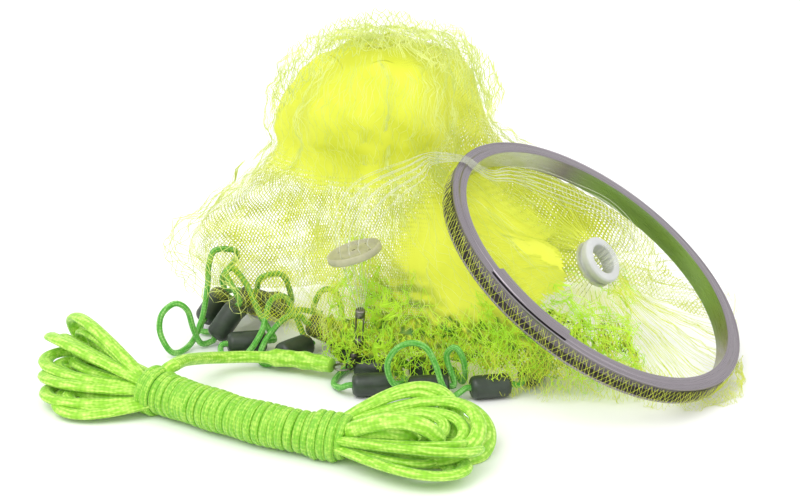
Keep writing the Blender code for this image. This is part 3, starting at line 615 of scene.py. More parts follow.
def tuck_under_ring(points):
    """Pushes what would pass through the ring down behind it, and lets it rise again outside the rim."""
    offset = points - RING_CENTRE
    height = offset @ RING[:, 2]
    radius = np.linalg.norm(offset - height[..., None] * RING[:, 2], axis=-1)
    ceiling = -RING_DEPTH - CLEARANCE + RISE_SLOPE * np.maximum(radius - RING_OUTER - RISE_MARGIN, 0.0)
    return points - np.maximum(height - ceiling, 0.0)[..., None] * RING[:, 2]


def draw_to_horn(points):
    """Raises the netting around the horn to the plane of its groove."""
    offset = points - HORN_CENTRE
    height = offset @ HORN[:, 2]
    radius = np.linalg.norm(offset - height[..., None] * HORN[:, 2], axis=-1)
    t = np.clip((DRAWN_FROM - radius) / DRAWN_OVER, 0.0, 1.0)
    share = t * t * (3.0 - 2.0 * t) * np.clip(2.0 - np.abs(height) / DRAWN_HEIGHT, 0.0, 1.0)
    return points - (share * height)[..., None] * HORN[:, 2]


def heap_grid(columns, rows):
    """Points of the heap's outer face.

    Sections are read between the table's rows by a Catmull-Rom curve, pushed out by the folds and lifted at
    the hem. The last rows close it, in even steps from the top section to the crown.
    """
    directions = np.arange(columns) * 360.0 / columns
    table = np.asarray(HEAP_SECTIONS, float)
    padded = np.vstack([2 * table[0] - table[1], table, 2 * table[-1] - table[-2]])
    places = np.linspace(0.0, len(table) - 1.0, rows)
    low = np.clip(np.floor(places).astype(int), 0, len(table) - 2)
    section = catmull(*(padded[low + k] for k in range(4)), (places - low)[:, None])
    heights = section[:, 0][:, None]
    radii = around_heap(section[:, 3:], directions) + fold_depth(directions[None, :], heights)
    lift = around_heap(HEM_LIFT, directions)[None, :] * np.clip(1.0 - heights / HEM_LIFT_REACH, 0.0, 1.0)
    turn = np.radians(directions)[None, :]
    x = section[:, 1][:, None] + radii * np.cos(turn)
    y = section[:, 2][:, None] + radii * np.sin(turn)
    points = draw_to_horn(tuck_under_ring(np.stack([x, y, heights + lift], axis=-1)))
    share = np.linspace(0.0, 1.0, CROWN_ROWS + 1)[1:, None, None]
    return np.concatenate([points, points[-1:] * (1 - share) + CROWN * share])


class Surface:
    """A grid of points closed sideways, with its normals, read at u around and v from hem to crown."""

    def __init__(self, points):
        self.points = points
        up = np.gradient(points, axis=0)
        side = np.roll(points, -1, axis=1) - np.roll(points, 1, axis=1)
        self.normals = unit(np.cross(side, up))
        self.normals[-1] = UP

    def read(self, u, v):
        """The point and the normal at each place, by bilinear mixing of the four grid points round it."""
        rows, columns = self.points.shape[:2]
        across, up = (u % 1.0) * columns, np.clip(v, 0.0, 1.0) * (rows - 1)
        c, r = np.floor(across).astype(int) % columns, np.minimum(np.floor(up).astype(int), rows - 2)
        s, t = (across - np.floor(across))[..., None], (up - r)[..., None]
        after = (c + 1) % columns
        mixed = [
            (grid[r, c] * (1 - s) + grid[r, after] * s) * (1 - t)
            + (grid[r + 1, c] * (1 - s) + grid[r + 1, after] * s) * t
            for grid in (self.points, self.normals)
        ]
        return mixed[0], unit(mixed[1])


HEAP = Surface(heap_grid(HEAP_COLUMNS, HEAP_ROWS))


# ---------------------------------------------------------------- materials


def new_group(name, inputs, outputs):
    """A shader node group with float or vector inputs and float outputs."""
    group = bpy.data.node_groups.new(name, "ShaderNodeTree")
    for label, kind, value in inputs:
        socket = group.interface.new_socket(label, in_out="INPUT", socket_type=kind)
        if value is not None:
            socket.default_value = value
    for label in outputs:
        group.interface.new_socket(label, in_out="OUTPUT", socket_type="NodeSocketFloat")
    return group, group.nodes.new("NodeGroupInput"), group.nodes.new("NodeGroupOutput")


def join(tree, source, target):
    """Links a socket to an input, or gives the input a plain number."""
    if isinstance(source, (int, float)):
        target.default_value = source
    else:
        tree.links.new(source, target)


def calc(tree, operation, *values, clamp=False):
    """A Math node fed by sockets or plain numbers; returns its output."""
    node = tree.nodes.new("ShaderNodeMath")
    node.operation = operation
    node.use_clamp = clamp
    for slot, value in zip(node.inputs, values):
        join(tree, value, slot)
    return node.outputs[0]


def smooth_step(tree, value, low, high):
    """0 below low and 1 above high, with a smooth rise between them."""
    node = tree.nodes.new("ShaderNodeMapRange")
    node.interpolation_type = "SMOOTHSTEP"
    for label, source in (("Value", value), ("From Min", low), ("From Max", high)):
        join(tree, source, node.inputs[label])
    return node.outputs["Result"]


def stretched(tree, vector, scale):
    """Coordinates times a scale for each axis."""
    node = tree.nodes.new("ShaderNodeMapping")
    node.inputs["Scale"].default_value = scale
    join(tree, vector, node.inputs["Vector"])
    return node.outputs["Vector"]


def noise_at(tree, vector, scale, detail):
    """Noise between about 0 and 1."""
    node = tree.nodes.new("ShaderNodeTexNoise")
    for label, source in (("Vector", vector), ("Scale", scale), ("Detail", detail)):
        join(tree, source, node.inputs[label])
    return node.outputs["Fac"]


# Painted highlight streaks per metre along a rope and round it, and the streaks of drawn metal.
PAINTED_HIGHLIGHT_SCALE = (110.0, 11.0, 1.0)
METAL_STREAKS = (1.0, 60.0, 1.0)


def braid_group():
    """Plaited rope on the UV map.

    The product of two crossing diagonal waves stands up where a strand passes over. Streaks are noise drawn
    out along the rope, painted highlights where its filaments lie together and would catch the light.
    """
    group, come, go = new_group(
        "Plaited Rope",
        (
            ("Vector", "NodeSocketVector", None),
            ("Plaits per Metre", "NodeSocketFloat", 200.0),
            ("Plaits Around", "NodeSocketFloat", 4.0),
        ),
        ("Height", "Over", "Streak"),
    )
    noise = noise_at(group, stretched(group, come.outputs["Vector"], PAINTED_HIGHLIGHT_SCALE), 1.0, 2.0)
    join(group, smooth_step(group, noise, 0.42, 0.62), go.inputs["Streak"])
    split = group.nodes.new("ShaderNodeSeparateXYZ")
    join(group, come.outputs["Vector"], split.inputs[0])
    along = calc(group, "MULTIPLY", split.outputs[0], come.outputs["Plaits per Metre"])
    across = calc(group, "MULTIPLY", split.outputs[1], come.outputs["Plaits Around"])
    waves = []
    for operation in ("ADD", "SUBTRACT"):
        turn = calc(group, "MULTIPLY", calc(group, operation, along, across), 2 * math.pi)
        waves.append(calc(group, "SINE", turn))
    product = calc(group, "MULTIPLY", *waves)
    join(group, calc(group, "MULTIPLY_ADD", product, 0.5, 0.5), go.inputs["Height"])
    join(group, smooth_step(group, product, -0.1, 0.5), go.inputs["Over"])
    return group


def mottle_group():
    """Blotches and specks of wear: two noises on Object coordinates, each brought to 0 to 1."""
    group, come, go = new_group(
        "Worn Mottle",
        (("Vector", "NodeSocketVector", None), ("Scale", "NodeSocketFloat", 60.0)),
        ("Blotch", "Speck"),
    )
    for label, times, low, high in (("Blotch", 1.0, 0.35, 0.65), ("Speck", 9.0, 0.45, 0.72)):
        scale = calc(group, "MULTIPLY", come.outputs["Scale"], times)
        noise = noise_at(group, come.outputs["Vector"], scale, 3.0)
        join(group, smooth_step(group, noise, low, high), go.inputs[label])
    return group


def mesh_group():
    """Bunched netting: the nearness to two crossing families of lines, compared with how closely it lies."""
    group, come, go = new_group(
        "Bunched Netting",
        (
            ("Vector", "NodeSocketVector", None),
            ("Closeness", "NodeSocketFloat", 0.5),
            ("Meshes Across", "NodeSocketFloat", 380.0),
            ("Meshes Up", "NodeSocketFloat", 170.0),
        ),
        ("Cover", "Line"),
    )
    noise = noise_at(group, come.outputs["Vector"], 45.0, 4.0)
    split = group.nodes.new("ShaderNodeSeparateXYZ")
    join(group, come.outputs["Vector"], split.inputs[0])
    shift = calc(group, "MULTIPLY", noise, 2.6)
    across = calc(group, "MULTIPLY", split.outputs[0], come.outputs["Meshes Across"])
    across = calc(group, "ADD", across, shift)
    up = calc(group, "MULTIPLY", split.outputs[1], come.outputs["Meshes Up"])
    near = [calc(group, "PINGPONG", calc(group, way, across, up), 0.5) for way in ("ADD", "SUBTRACT")]
    line = calc(group, "MULTIPLY_ADD", calc(group, "MINIMUM", *near), -2.0, 1.0)
    uneven = calc(group, "MULTIPLY_ADD", noise, 0.9, -0.45)
    need = calc(group, "SUBTRACT", 1.0, calc(group, "ADD", come.outputs["Closeness"], uneven))
    low, high = calc(group, "SUBTRACT", need, 0.12), calc(group, "ADD", need, 0.12)
    join(group, smooth_step(group, line, low, high), go.inputs["Cover"])
    join(group, line, go.inputs["Line"])
    return group


BRAID = braid_group()
MOTTLE = mottle_group()
MESH = mesh_group()


class Finish:
    """One material: its Principled shader, its tree, and short ways to add what feeds them."""

    def __init__(self, name, colour, roughness, metallic=0.0, coords="Object"):
        self.material = bpy.data.materials.new(name)
        self.material.use_nodes = True
        self.tree = self.material.node_tree
        self.shader = self.tree.nodes["Principled BSDF"]
        self.set("Base Color", (*colour, 1.0))
        self.set("Roughness", roughness)
        self.set("Metallic", metallic)
        self.coords = self.tree.nodes.new("ShaderNodeTexCoord").outputs[coords]

    def set(self, label, value):
        """Gives the shader's own socket a value that is the same all over."""
        self.shader.inputs[label].default_value = value

    def group(self, group, **values):
        """The outputs of a shader group on the finish's coordinates, its inputs numbers or sockets."""
        node = self.tree.nodes.new("ShaderNodeGroup")
        node.node_tree = group
        join(self.tree, self.coords, node.inputs["Vector"])
        for label, value in values.items():
            join(self.tree, value, node.inputs[label.replace("_", " ")])
        return node.outputs

    def mix(self, share, first, second):
        """Two colours, each a tuple or a socket, mixed by a share."""
        node = self.tree.nodes.new("ShaderNodeMix")
        node.data_type = "RGBA"
        join(self.tree, share, node.inputs["Factor"])
        for label, value in (("A", first), ("B", second)):
            slot = next(s for s in node.inputs if s.name == label and s.type == "RGBA")
            if isinstance(value, tuple):
                slot.default_value = (*value, 1.0)
            else:
                join(self.tree, value, slot)
        return next(s for s in node.outputs if s.type == "RGBA")

    def bump(self, height, strength, distance=0.0002):
        """The surface raised by a height socket, through its normal alone."""
        node = self.tree.nodes.new("ShaderNodeBump")
        node.inputs["Strength"].default_value = strength
        node.inputs["Distance"].default_value = distance
        join(self.tree, height, node.inputs["Height"])
        join(self.tree, node.outputs["Normal"], self.shader.inputs["Normal"])

    def feed(self, label, socket):
        """Lets a socket that changes over the surface drive the shader's."""
        join(self.tree, socket, self.shader.inputs[label])

    def glow(self, colour, strength):
        """Painted light: a little emission in the surface's own colour, which lifts its shade and makes dyes
        look brighter than white cloth.
        """
        self.feed("Emission Color", colour)
        self.set("Emission Strength", strength)


def twine_finish(name, pale, deep, glow):
    """Thin dyed twine: two shades in blotches, with a little painted glow in its own colour."""
    finish = Finish(name, pale, 0.5)
    blotch = finish.group(MOTTLE, Scale=45.0)["Blotch"]
    colour = finish.mix(blotch, pale, deep)
    finish.feed("Base Color", colour)
    finish.glow(colour, glow)
    return finish.material


def mass_finish(settings):
    """Netting that lies closely: plain where closest, open meshes where thin, with painted shade in the
    folds.

    The piece's lay attribute holds its closeness in red and the darkness of the folds' painted shade in
    green.
    """
    finish = Finish("bunched netting", tuple(settings.mass), 0.6, coords="UV")
    lay = finish.tree.nodes.new("ShaderNodeAttribute")
    lay.attribute_name = "lay"
    split = finish.tree.nodes.new("ShaderNodeSeparateColor")
    join(finish.tree, lay.outputs["Color"], split.inputs[0])
    netting = finish.group(MESH, Closeness=split.outputs[0])
    line = calc(finish.tree, "POWER", netting["Line"], 3.0)
    lit = finish.mix(line, tuple(settings.mass_shade), tuple(settings.mass))
    solid = smooth_step(finish.tree, split.outputs[0], 0.7, 1.0)
    lit = finish.mix(solid, lit, tuple(settings.mass))
    # Painted shade: the colour goes towards the dark fold colour where the lay's green is high.
    colour = finish.mix(split.outputs[1], lit, tuple(settings.folds))
    finish.feed("Base Color", colour)
    # Painted light: the netting mass glows in its own colour.
    finish.glow(colour, settings.mass_glow)
    finish.feed("Alpha", netting["Cover"])
    return finish.material


def rope_finish(name, base, pale, plaits, around, highlight_share, glow):
    """Plaited rope: painted shade between its strands, and painted pale highlights in streaks where strands
    pass over.
    """
    finish = Finish(name, base, 0.55, coords="UV")
    plait = finish.group(BRAID, Plaits_per_Metre=plaits, Plaits_Around=around)
    over = calc(finish.tree, "MULTIPLY_ADD", plait["Over"], 0.45, 0.55)
    share = calc(finish.tree, "MULTIPLY", calc(finish.tree, "MULTIPLY", over, plait["Streak"]), highlight_share)
    # Painted shade in the dips of the plait, with the painted highlights mixed over it.
    shade = tuple(0.8 * c for c in base)
    colour = finish.mix(share, finish.mix(plait["Height"], shade, base), pale)
    finish.feed("Base Color", colour)
    # Painted light: the rope glows a little in its own colour.
    finish.glow(colour, glow)
    finish.bump(plait["Height"], 0.6, 0.0005)
    finish.set("Sheen Weight", 0.15)
    return finish.material


def ring_finish(colour, roughness, mirrored, lit):
    """The throwing ring's drawn metal: noise drawn out along the UV map's u streaks its colour and roughness.

    Its bright inner wall has painted reflections in its colour: the netting's green where the attribute that
    holds them is above 0, and the light's grey where it is below.
    """
    finish = Finish("drawn anodised metal", colour, roughness, 0.85, coords="UV")
    tree = finish.tree
    noise = noise_at(tree, stretched(tree, finish.coords, METAL_STREAKS), 35.0, 4.0)
    finish.feed("Roughness", calc(tree, "MULTIPLY_ADD", noise, 0.3, roughness - 0.15, clamp=True))
    finish.bump(noise, 0.12)
    darker, lighter = tuple(0.8 * c for c in colour), tuple(min(1.0, 1.15 * c) for c in colour)
    # Painted reflection: the inner wall's colour is mixed towards the netting's green and towards the light's
    # grey.
    reflection_paint = tree.nodes.new("ShaderNodeAttribute")
    reflection_paint.attribute_name = "mirrored"
    painted_light_share = calc(tree, "MULTIPLY", reflection_paint.outputs["Fac"], -1.0, clamp=True)
    painted_net_share = calc(tree, "MAXIMUM", reflection_paint.outputs["Fac"], 0.0, clamp=True)
    metal = finish.mix(painted_light_share, finish.mix(noise, darker, lighter), lit)
    finish.feed("Base Color", finish.mix(painted_net_share, metal, mirrored))
    return finish.material


def moulded_finish(name, colour, roughness, shade, scale=90.0, translucence=0.0):
    """Moulded plastic: blotches in a darker shade of its colour, and specks that roughen and raise it."""
    finish = Finish(name, colour, roughness)
    worn = finish.group(MOTTLE, Scale=scale)
    finish.feed("Base Color", finish.mix(worn["Blotch"], colour, tuple(shade * c for c in colour)))
    rough = calc(finish.tree, "MULTIPLY_ADD", worn["Speck"], 0.18, roughness, clamp=True)
    finish.feed("Roughness", rough)
    finish.bump(worn["Speck"], 0.12)
    if translucence:
        finish.set("Subsurface Weight", translucence)
        finish.set("Subsurface Radius", (0.004, 0.005, 0.002))
    return finish.material


def wire_finish(name, colour, roughness):
    """Worn wire or plating: metal with darker blotches and rougher specks."""
    finish = Finish(name, colour, roughness, 0.95)
    worn = finish.group(MOTTLE, Scale=260.0)
    finish.feed("Base Color", finish.mix(worn["Blotch"], colour, tuple(0.55 * c for c in colour)))
    finish.feed("Roughness", calc(finish.tree, "MULTIPLY_ADD", worn["Speck"], 0.25, roughness, clamp=True))
    return finish.material


def line_finish(name, colour):
    """Clear monofilament: mostly clear, with a pale core that keeps it visible on white."""
    finish = Finish(name, colour, 0.15)
    finish.set("Alpha", 0.42)
    worn = finish.group(MOTTLE, Scale=70.0)
    finish.feed("Base Color", finish.mix(worn["Blotch"], colour, tuple(0.88 * c for c in colour)))
    return finish.material


# ---------------------------------------------------------------- netting


def lattice(meshes, rows, steps, v0=0.0, v1=1.0):
    """Both families of a diamond net's lines, as their u and v at a few steps between rows of knots.

    Line k is at (k + half the row) / meshes in one family and at (k - half the row) / meshes in the other, so
    it moves half a mesh sideways for each row of knots.
    """
    k = np.arange(meshes)[:, None]
    row = np.arange(rows * steps + 1)[None, :] / steps
    v = np.broadcast_to(v0 + (v1 - v0) * row / rows, (meshes, row.shape[1]))
    return np.vstack([(k + 0.5 * way * row) / meshes for way in (1, -1)]), np.vstack([v, v])


def bunched(u, v, amount, seed):
    """u drawn together into streaks and let apart between them, by smooth waves round and up the heap."""
    angle = 2 * math.pi * u
    place = np.stack([np.cos(angle), np.sin(angle), 0.7 * v], axis=-1)
    return u + amount * ripple(place, 0.55, seed) + 0.35 * amount * ripple(place, 0.2, seed + 1)


def crumpled(points, normals, sizes, seed):
    """Points moved by ripples. Each size holds a wavelength, a reach along the normal and one every way."""
    moved = points.copy()
    for number, (wavelength, out, every) in enumerate(sizes):
        moved += normals * (out * ripple(points, wavelength, seed + 10 * number))[..., None]
        loose = [ripple(points, wavelength, seed + 10 * number + k) for k in (1, 2, 3)]
        moved += every * np.stack(loose, axis=-1)
    return moved


def clear_of_floor(points, height=0.6):
    """Lifts what would lie lower to the given height."""
    points[..., 2] = np.maximum(points[..., 2], height)
    return points


def both_ends(mask):
    """The stretches whose two ends are both in the mask."""
    return mask[:, 1:] & mask[:, :-1]


def ring_local(points):
    """Points in the ring's own frame."""
    return (points - RING_CENTRE) @ RING


def off_ring(points):
    """Where a point is clear of the ring's channel and of what passes through its opening."""
    local = ring_local(points)
    radius = np.hypot(local[..., 0], local[..., 1])
    return (local[..., 2] < -RING_DEPTH - 0.4) | (radius > RING_OUTER + 1.0)


def horn_hole(points):
    """Where a point is outside the horn's groove."""
    offset = (points - HORN_CENTRE) @ HORN
    return np.hypot(offset[..., 0], offset[..., 1]) > HORN_WAIST + 0.3


BLOB_FULL = 0.75
BLOB_FADE = 0.6


def blob(points, centre, reach):
    """1 inside three quarters of an ellipsoid's reach, fading to 0 a little outside it."""
    distance = np.linalg.norm((points - np.asarray(centre)) / np.asarray(reach), axis=-1)
    return np.clip(1.0 - (distance - BLOB_FULL) / BLOB_FADE, 0.0, 1.0)


# Where the netting lies closest. Columns: centre x, y, z, reach x, y, z, closeness.
MASSES = (
    (-40, 55, 191, 90, 95, 47, 1.3),
    (48, 70, 178, 66, 80, 54, 0.66),
    (68, -5, 92, 66, 80, 58, 1.35),
    (4, -8, 56, 46, 50, 24, 0.8),
    (-22, 30, 96, 52, 60, 60, 0.24),
    (-10, 150, 172, 78, 70, 46, 1.0),
    (88, 190, 60, 84, 60, 60, 0.8),
)
# Where shade is painted in the deep folds. Columns: centre x, y, z, reach x, y, z, darkness of the painted
# shade.
PAINTED_FOLD_SHADE_BLOBS = (
    (68, -10, 24, 88, 60, 28, 0.85),
    (-6, -6, 52, 34, 40, 30, 0.7),
    (90, 190, 16, 80, 50, 26, 0.5),
)
OPEN_CLOSENESS = 0.12
BACK_CLOSENESS = 0.3
FOLD_CLOSENESS = 0.7
# The back starts at this y and ends at this x, and fades in over this distance.
BACK_FROM = 105.0
BACK_TO = 130.0
BACK_FADE = 40.0
# Under the ring the lays are left out right of this x, as far as this beyond its rim.
BARE_UNDER_RING = 122.0
BARE_BEYOND_RING = 24.0


def strongest_blob(points, table):
    """The greatest, at each point, of a table's blobs times their amounts."""
    value = np.zeros(points.shape[:-1])
    for x, y, z, rx, ry, rz, amount in table:
        value = np.maximum(value, amount * blob(points, (x, y, z), (rx, ry, rz)))
    return value


def closeness(points):
    """How closely the netting lies: the greatest of its open value, its close masses and its deep folds."""
    behind = np.clip((points[..., 1] - BACK_FROM) / BACK_FADE, 0.0, 1.0)
    at_back = behind * np.clip((BACK_TO - points[..., 0]) / BACK_FADE, 0.0, 1.0)
    value = OPEN_CLOSENESS + (BACK_CLOSENESS - OPEN_CLOSENESS) * at_back
    value = np.maximum(value, strongest_blob(points, MASSES))
    return np.maximum(value, FOLD_CLOSENESS * painted_fold_shade(points))


def painted_fold_shade(points):
    """How much shade is painted in the folds: their blobs, broken up by a fine ripple."""
    return strongest_blob(points, PAINTED_FOLD_SHADE_BLOBS) * np.clip(0.6 + 0.9 * ripple(points, 8.0, 91), 0.0, 1.0)


def seen_through_ring(points):
    """Where the netting under the ring is left to the fan, which hangs alone there."""
    local = ring_local(points)
    radius = np.hypot(local[..., 0], local[..., 1])
    bare = BARE_UNDER_RING + 9.0 * ripple(points, 50.0, 77)
    return (points[..., 0] > bare) & (radius < RING_OUTER + BARE_BEYOND_RING) & (local[..., 2] < 0.0)


# How far to either side the calm surface is a mean of the heap's grid, and in what steps, in columns.
CALM_REACH = 24
CALM_STEP = 6


def calm_surface():
    """The heap with its folds and bulges evened out sideways, still under the ring."""
    turns = range(-CALM_REACH, CALM_REACH + 1, CALM_STEP)
    points = sum(np.roll(HEAP.points, turn, axis=1) for turn in turns) / float(len(turns))
    return Surface(tuck_under_ring(points))


CALM = calm_surface()
CORE_COLUMNS = 260
CORE_ROWS = 120
CORE_INSET = 4.0
CORE_TOP_INSET = 16.0
CORE_TOP = (185.0, 250.0)
CORE_CRUMPLE = ((60.0, 1.5, 0.0), (22.0, 0.8, 0.0))
# Size of the mesh pattern's coordinates round the heap and up it.
CORE_PATTERN = (0.9, 0.36)


def add_lay(piece, close, dark):
    """Keeps closeness and the darkness of the painted fold shade on the mesh's points, where the netting
    mass's material reads them.
    """
    colours = np.stack([close.ravel(), dark.ravel(), 0 * close.ravel(), 1 + 0 * close.ravel()], axis=-1)
    layer = piece.data.attributes.new("lay", "FLOAT_COLOR", "POINT")
    layer.data.foreach_set("color", colours.astype(np.float32).ravel())


def make_core(materials):
    """The close inner lay of the net, on the calm surface moved in, and further in towards the crown."""
    u, v = np.meshgrid(np.arange(CORE_COLUMNS) / CORE_COLUMNS, np.linspace(0.001, 1.0, CORE_ROWS))
    points, normals = CALM.read(u, v)
    high = np.clip((points[..., 2] - CORE_TOP[0]) / (CORE_TOP[1] - CORE_TOP[0]), 0.0, 1.0)
    inset = CORE_INSET + (CORE_TOP_INSET - CORE_INSET) * high * high * (3.0 - 2.0 * high)
    points = crumpled(points - normals * inset[..., None], normals, CORE_CRUMPLE, 5)
    close, dark = closeness(points), painted_fold_shade(points)
    points = clear_of_floor(points.reshape(-1, 3), 1.0)
    quads, rows, columns = grid_faces(CORE_ROWS, CORE_COLUMNS)
    shown = horn_hole(points) & ~seen_through_ring(points)
    keep = np.repeat(shown[quads].all(axis=1), 4)
    uv = np.stack([CORE_PATTERN[0] * columns / CORE_COLUMNS, CORE_PATTERN[1] * rows / CORE_ROWS], axis=-1)
    core = add_piece("net_core", points, quads[keep[::4]], materials["mass"], corner_uv=uv[keep])
    add_lay(core, close, dark)
    return core


def on_sheer_left(points):
    """Left of a rippled line, except at the back."""
    return (points[..., 0] < -112.0 + 6.0 * ripple(points, 40.0, 27)) & (points[..., 1] < 120.0)


def below_crest(points):
    """Everywhere below the crest but on the sheer left, which has a veil of its own."""
    return ~on_sheer_left(points) & (points[..., 2] < 236.0 + 8.0 * ripple(points, 40.0, 28))


def off_masses(points):
    """Everywhere but on the close masses and low on the left."""
    right = points[..., 0] > -95.0 + 20.0 * ripple(points, 60.0, 29)
    return (right | (points[..., 2] > 120.0)) & (closeness(points) < 0.7 + 0.1 * ripple(points, 50.0, 33))


def round_masses(points):
    """In a rippled belt round the close masses."""
    close = closeness(points)
    return (close > 0.2 + 0.2 * ripple(points, 30.0, 31)) & (close < 0.6 + 0.15 * ripple(points, 30.0, 35))


# The veils. Columns: name, where it lies, finish, meshes round the heap, rows of knots, inset at the hem and
# at the crown, bunching, share of the twine's diameter, seed.
VEILS = (
    ("net_veil_outer", below_crest, "pale twine", 128, 28, -0.8, -0.5, 0.014, 0.85, 11),
    ("net_veil_left", on_sheer_left, "pale twine", 128, 28, -0.8, -0.5, 0.014, 1.6, 12),
    ("net_veil_middle", off_masses, "pale twine", 120, 28, 2.0, 6.0, 0.02, 0.85, 23),
    ("net_veil_inner", round_masses, "twine", 150, 28, 4.0, 10.0, 0.022, 0.8, 37),
)
VEIL_STEPS = 2
VEIL_SPAN = (0.004, 0.995)
VEIL_TOP = 230.0
VEIL_CRUMPLE = ((70.0, 1.5, 1.0), (24.0, 1.4, 1.4), (9.0, 0.8, 0.9))


def twine_along(points, normals, keep, size, settings):
    """Strands of the netting's twine, none below the floor; size is a share of the twine's diameter."""
    return strands(clear_of_floor(points), normals, keep, size * settings.twine_diameter / MM)


def make_veils(settings, materials):
    """Diamond nets on the heap's surface, bunched sideways, set in more towards the crown, and crumpled."""
    veils = []
    for name, region, finish, meshes, rows, low, high, gather, size, seed in VEILS:
        u, v = lattice(meshes, rows, VEIL_STEPS, *VEIL_SPAN)
        u = bunched(u, v, gather, seed)
        points, normals = HEAP.read(u, v)
        inset = low + (high - low) * np.clip(points[..., 2] / VEIL_TOP, 0.0, 1.0)
        points = crumpled(points - normals * inset[..., None], normals, VEIL_CRUMPLE, seed)
        shown = off_ring(points) & horn_hole(points) & ~seen_through_ring(points) & region(points)
        lines, quads = twine_along(points, normals, both_ends(shown), size, settings)
        veils.append(add_piece(name, lines, quads, materials[finish]))
    return veils


BAND_HEIGHT = 64.0


def band_region(points):
    """The crumpled foot of the heap that faces the lead line, fading out upward and to the left."""
    x, y, z = points[..., 0], points[..., 1], points[..., 2]
    top = BAND_HEIGHT + 11.0 * ripple(points, 40.0, 71) + 12.0 * np.clip((x - 70.0) / 60.0, 0.0, 1.0)
    top = top + 24.0 * np.clip((28.0 - x) / 50.0, 0.0, 1.0) - 80.0 * np.clip((-38.0 - x) / 40.0, 0.0, 1.0)
    return (z < top) & (y < 75.0) & (x > -120.0) & (x < 178.0)


BAND_MESHES = 170
BAND_ROWS = 19
BAND_STEPS = 3
BAND_TOP = 0.42
BAND_BUNCHING = 0.02
BAND_SIZE = 1.5
# The band's lays. Columns: seed, inset.
BAND_LAYS = ((51, 0.0), (67, 5.0))
BAND_CRUMPLE = ((34.0, 4.0, 3.0), (13.0, 2.4, 3.0), (5.0, 0.6, 1.0))


def make_band(settings, materials):
    """Crumpled netting along the heap's foot: lays of lines thrown about by strong ripples."""
    lays = []
    for seed, inset in BAND_LAYS:
        u, v = lattice(BAND_MESHES, BAND_ROWS, BAND_STEPS, 0.0, BAND_TOP)
        u = bunched(u, v, BAND_BUNCHING, seed)
        points, normals = HEAP.read(u, v)
        keep = both_ends(band_region(points) & off_ring(points) & horn_hole(points))
        points = crumpled(points - inset * normals, normals, BAND_CRUMPLE, seed)
        lays.append(twine_along(points, normals, keep, BAND_SIZE, settings))
    return add_piece("net_band", *merged(lays), materials["bright twine"])


# The foot of the net in plan, from the swivel round to the ring's low side. Columns: x, y, top and bottom z.
FOOT = (
    (-62, 40, 22, 12),
    (-48, 22, 34, 10),
    (-30, 2, 44, 8),
    (-5, -8, 48, 5),
    (30, -14, 52, 6),
    (62, -20, 54, 14),
    (88, -22, 56, 12),
    (112, -20, 58, 5),
    (135, -16, 52, 3),
    (158, -10, 40, 3),
    (180, -2, 30, 3),
)
# The frill from behind the ring's low side to the ground. Columns as above.
FRILL = (
    (62, -26, 34, 3),
    (110, -29, 38, 2),
    (150, -33, 38, 1),
    (185, -42, 26, 1),
    (212, -46, 16, 1),
    (234, -40, 9, 1),
    (247, -26, 9, 1),
    (252, -4, 14, 1),
    (249, 22, 26, 2),
)
# The crest of open meshes on the crown. Columns as above.
CREST = (
    (-95, 48, 207, 178),
    (-88, 52, 226, 197),
    (-75, 58, 242, 210),
    (-56, 64, 254, 227),
    (-35, 68, 262, 237),
    (-11, 70, 264, 239),
    (15, 70, 260, 235),
    (37, 68, 253, 218),
    (54, 64, 244, 201),
    (68, 60, 230, 184),
    (78, 56, 211, 168),
)
# Pieces of open meshes along those routes. Columns: route, finish, meshes along it, rows of knots, raggedness
# of the lower edge, crumpling, and the lays, each with its seed, its distance behind the route and its share
# of the twine's diameter.
CURTAINS = {
    "net_foot": (FOOT, "bright twine", 50, 8, 5.0, 1.0, ((131, 0.0, 1.5), (137, 7.0, 1.6))),
    "net_ruffle": (FRILL, "twine", 74, 6, 2.0, 0.5, ((87, 0.0, 1.0), (89, 9.0, 1.0))),
    "net_crest": (CREST, "pale twine", 40, 6, 2.0, 0.5, ((93, 0.0, 1.8), (95, 9.0, 1.8))),
}
FOOT_FOLDS_ROWS = 24
FOOT_FOLDS_COLUMNS = 150
FOOT_FOLDS_BEHIND = 13.0
FOOT_FOLDS_PATTERN = (0.26, 0.05)
CURTAIN_STEPS = 4
CURTAIN_FLARE = 7.0
RAGGED_WAVELENGTH = 17.0
CURTAIN_CRUMPLE = ((36.0, 3.5, 2.0), (14.0, 2.4, 2.6), (6.0, 0.8, 1.2))


def curtain(table, along, down, seed, behind, ragged=5.0, thrown=1.0):
    """Points of a curtain that falls along a table's route in plan, flared and crumpled as it falls."""
    route = smooth_route([row[:3] for row in table], 2.0)
    rows_at = np.linspace(0.0, 1.0, len(table))
    low = np.interp(np.linspace(0.0, 1.0, len(route)), rows_at, [row[3] for row in table])
    at = np.clip(along, 0.0, 1.0) * (len(route) - 1)
    grid = np.arange(len(route))
    x, y, top = (np.interp(at, grid, route[:, k]) for k in range(3))
    bottom = np.interp(at, grid, low)
    points = np.stack([x, y - CURTAIN_FLARE * down + behind, top + (bottom - top) * down], axis=-1)
    points[..., 2] += ragged * ripple(points * (1, 1, 0), RAGGED_WAVELENGTH, 301) * down
    normals = np.broadcast_to(np.array((0.0, -1.0, 0.0)), points.shape)
    sizes = [(wavelength, out * thrown, every * thrown) for wavelength, out, every in CURTAIN_CRUMPLE]
    return crumpled(points, normals, sizes, seed), normals


def make_curtain(name, settings, materials):
    """Open meshes that hang or stand along a route, in lays."""
    table, finish, meshes, rows, ragged, thrown, lay_rows = CURTAINS[name]
    lays = []
    for seed, behind, size in lay_rows:
        along, down = lattice(meshes, rows, CURTAIN_STEPS)
        points, normals = curtain(table, along, down, seed, behind, ragged, thrown)
        keep = both_ends((along > 0.0) & (along < 1.0) & off_ring(points))
        lays.append(twine_along(points, normals, keep, size, settings))
    return add_piece(name, *merged(lays), materials[finish])


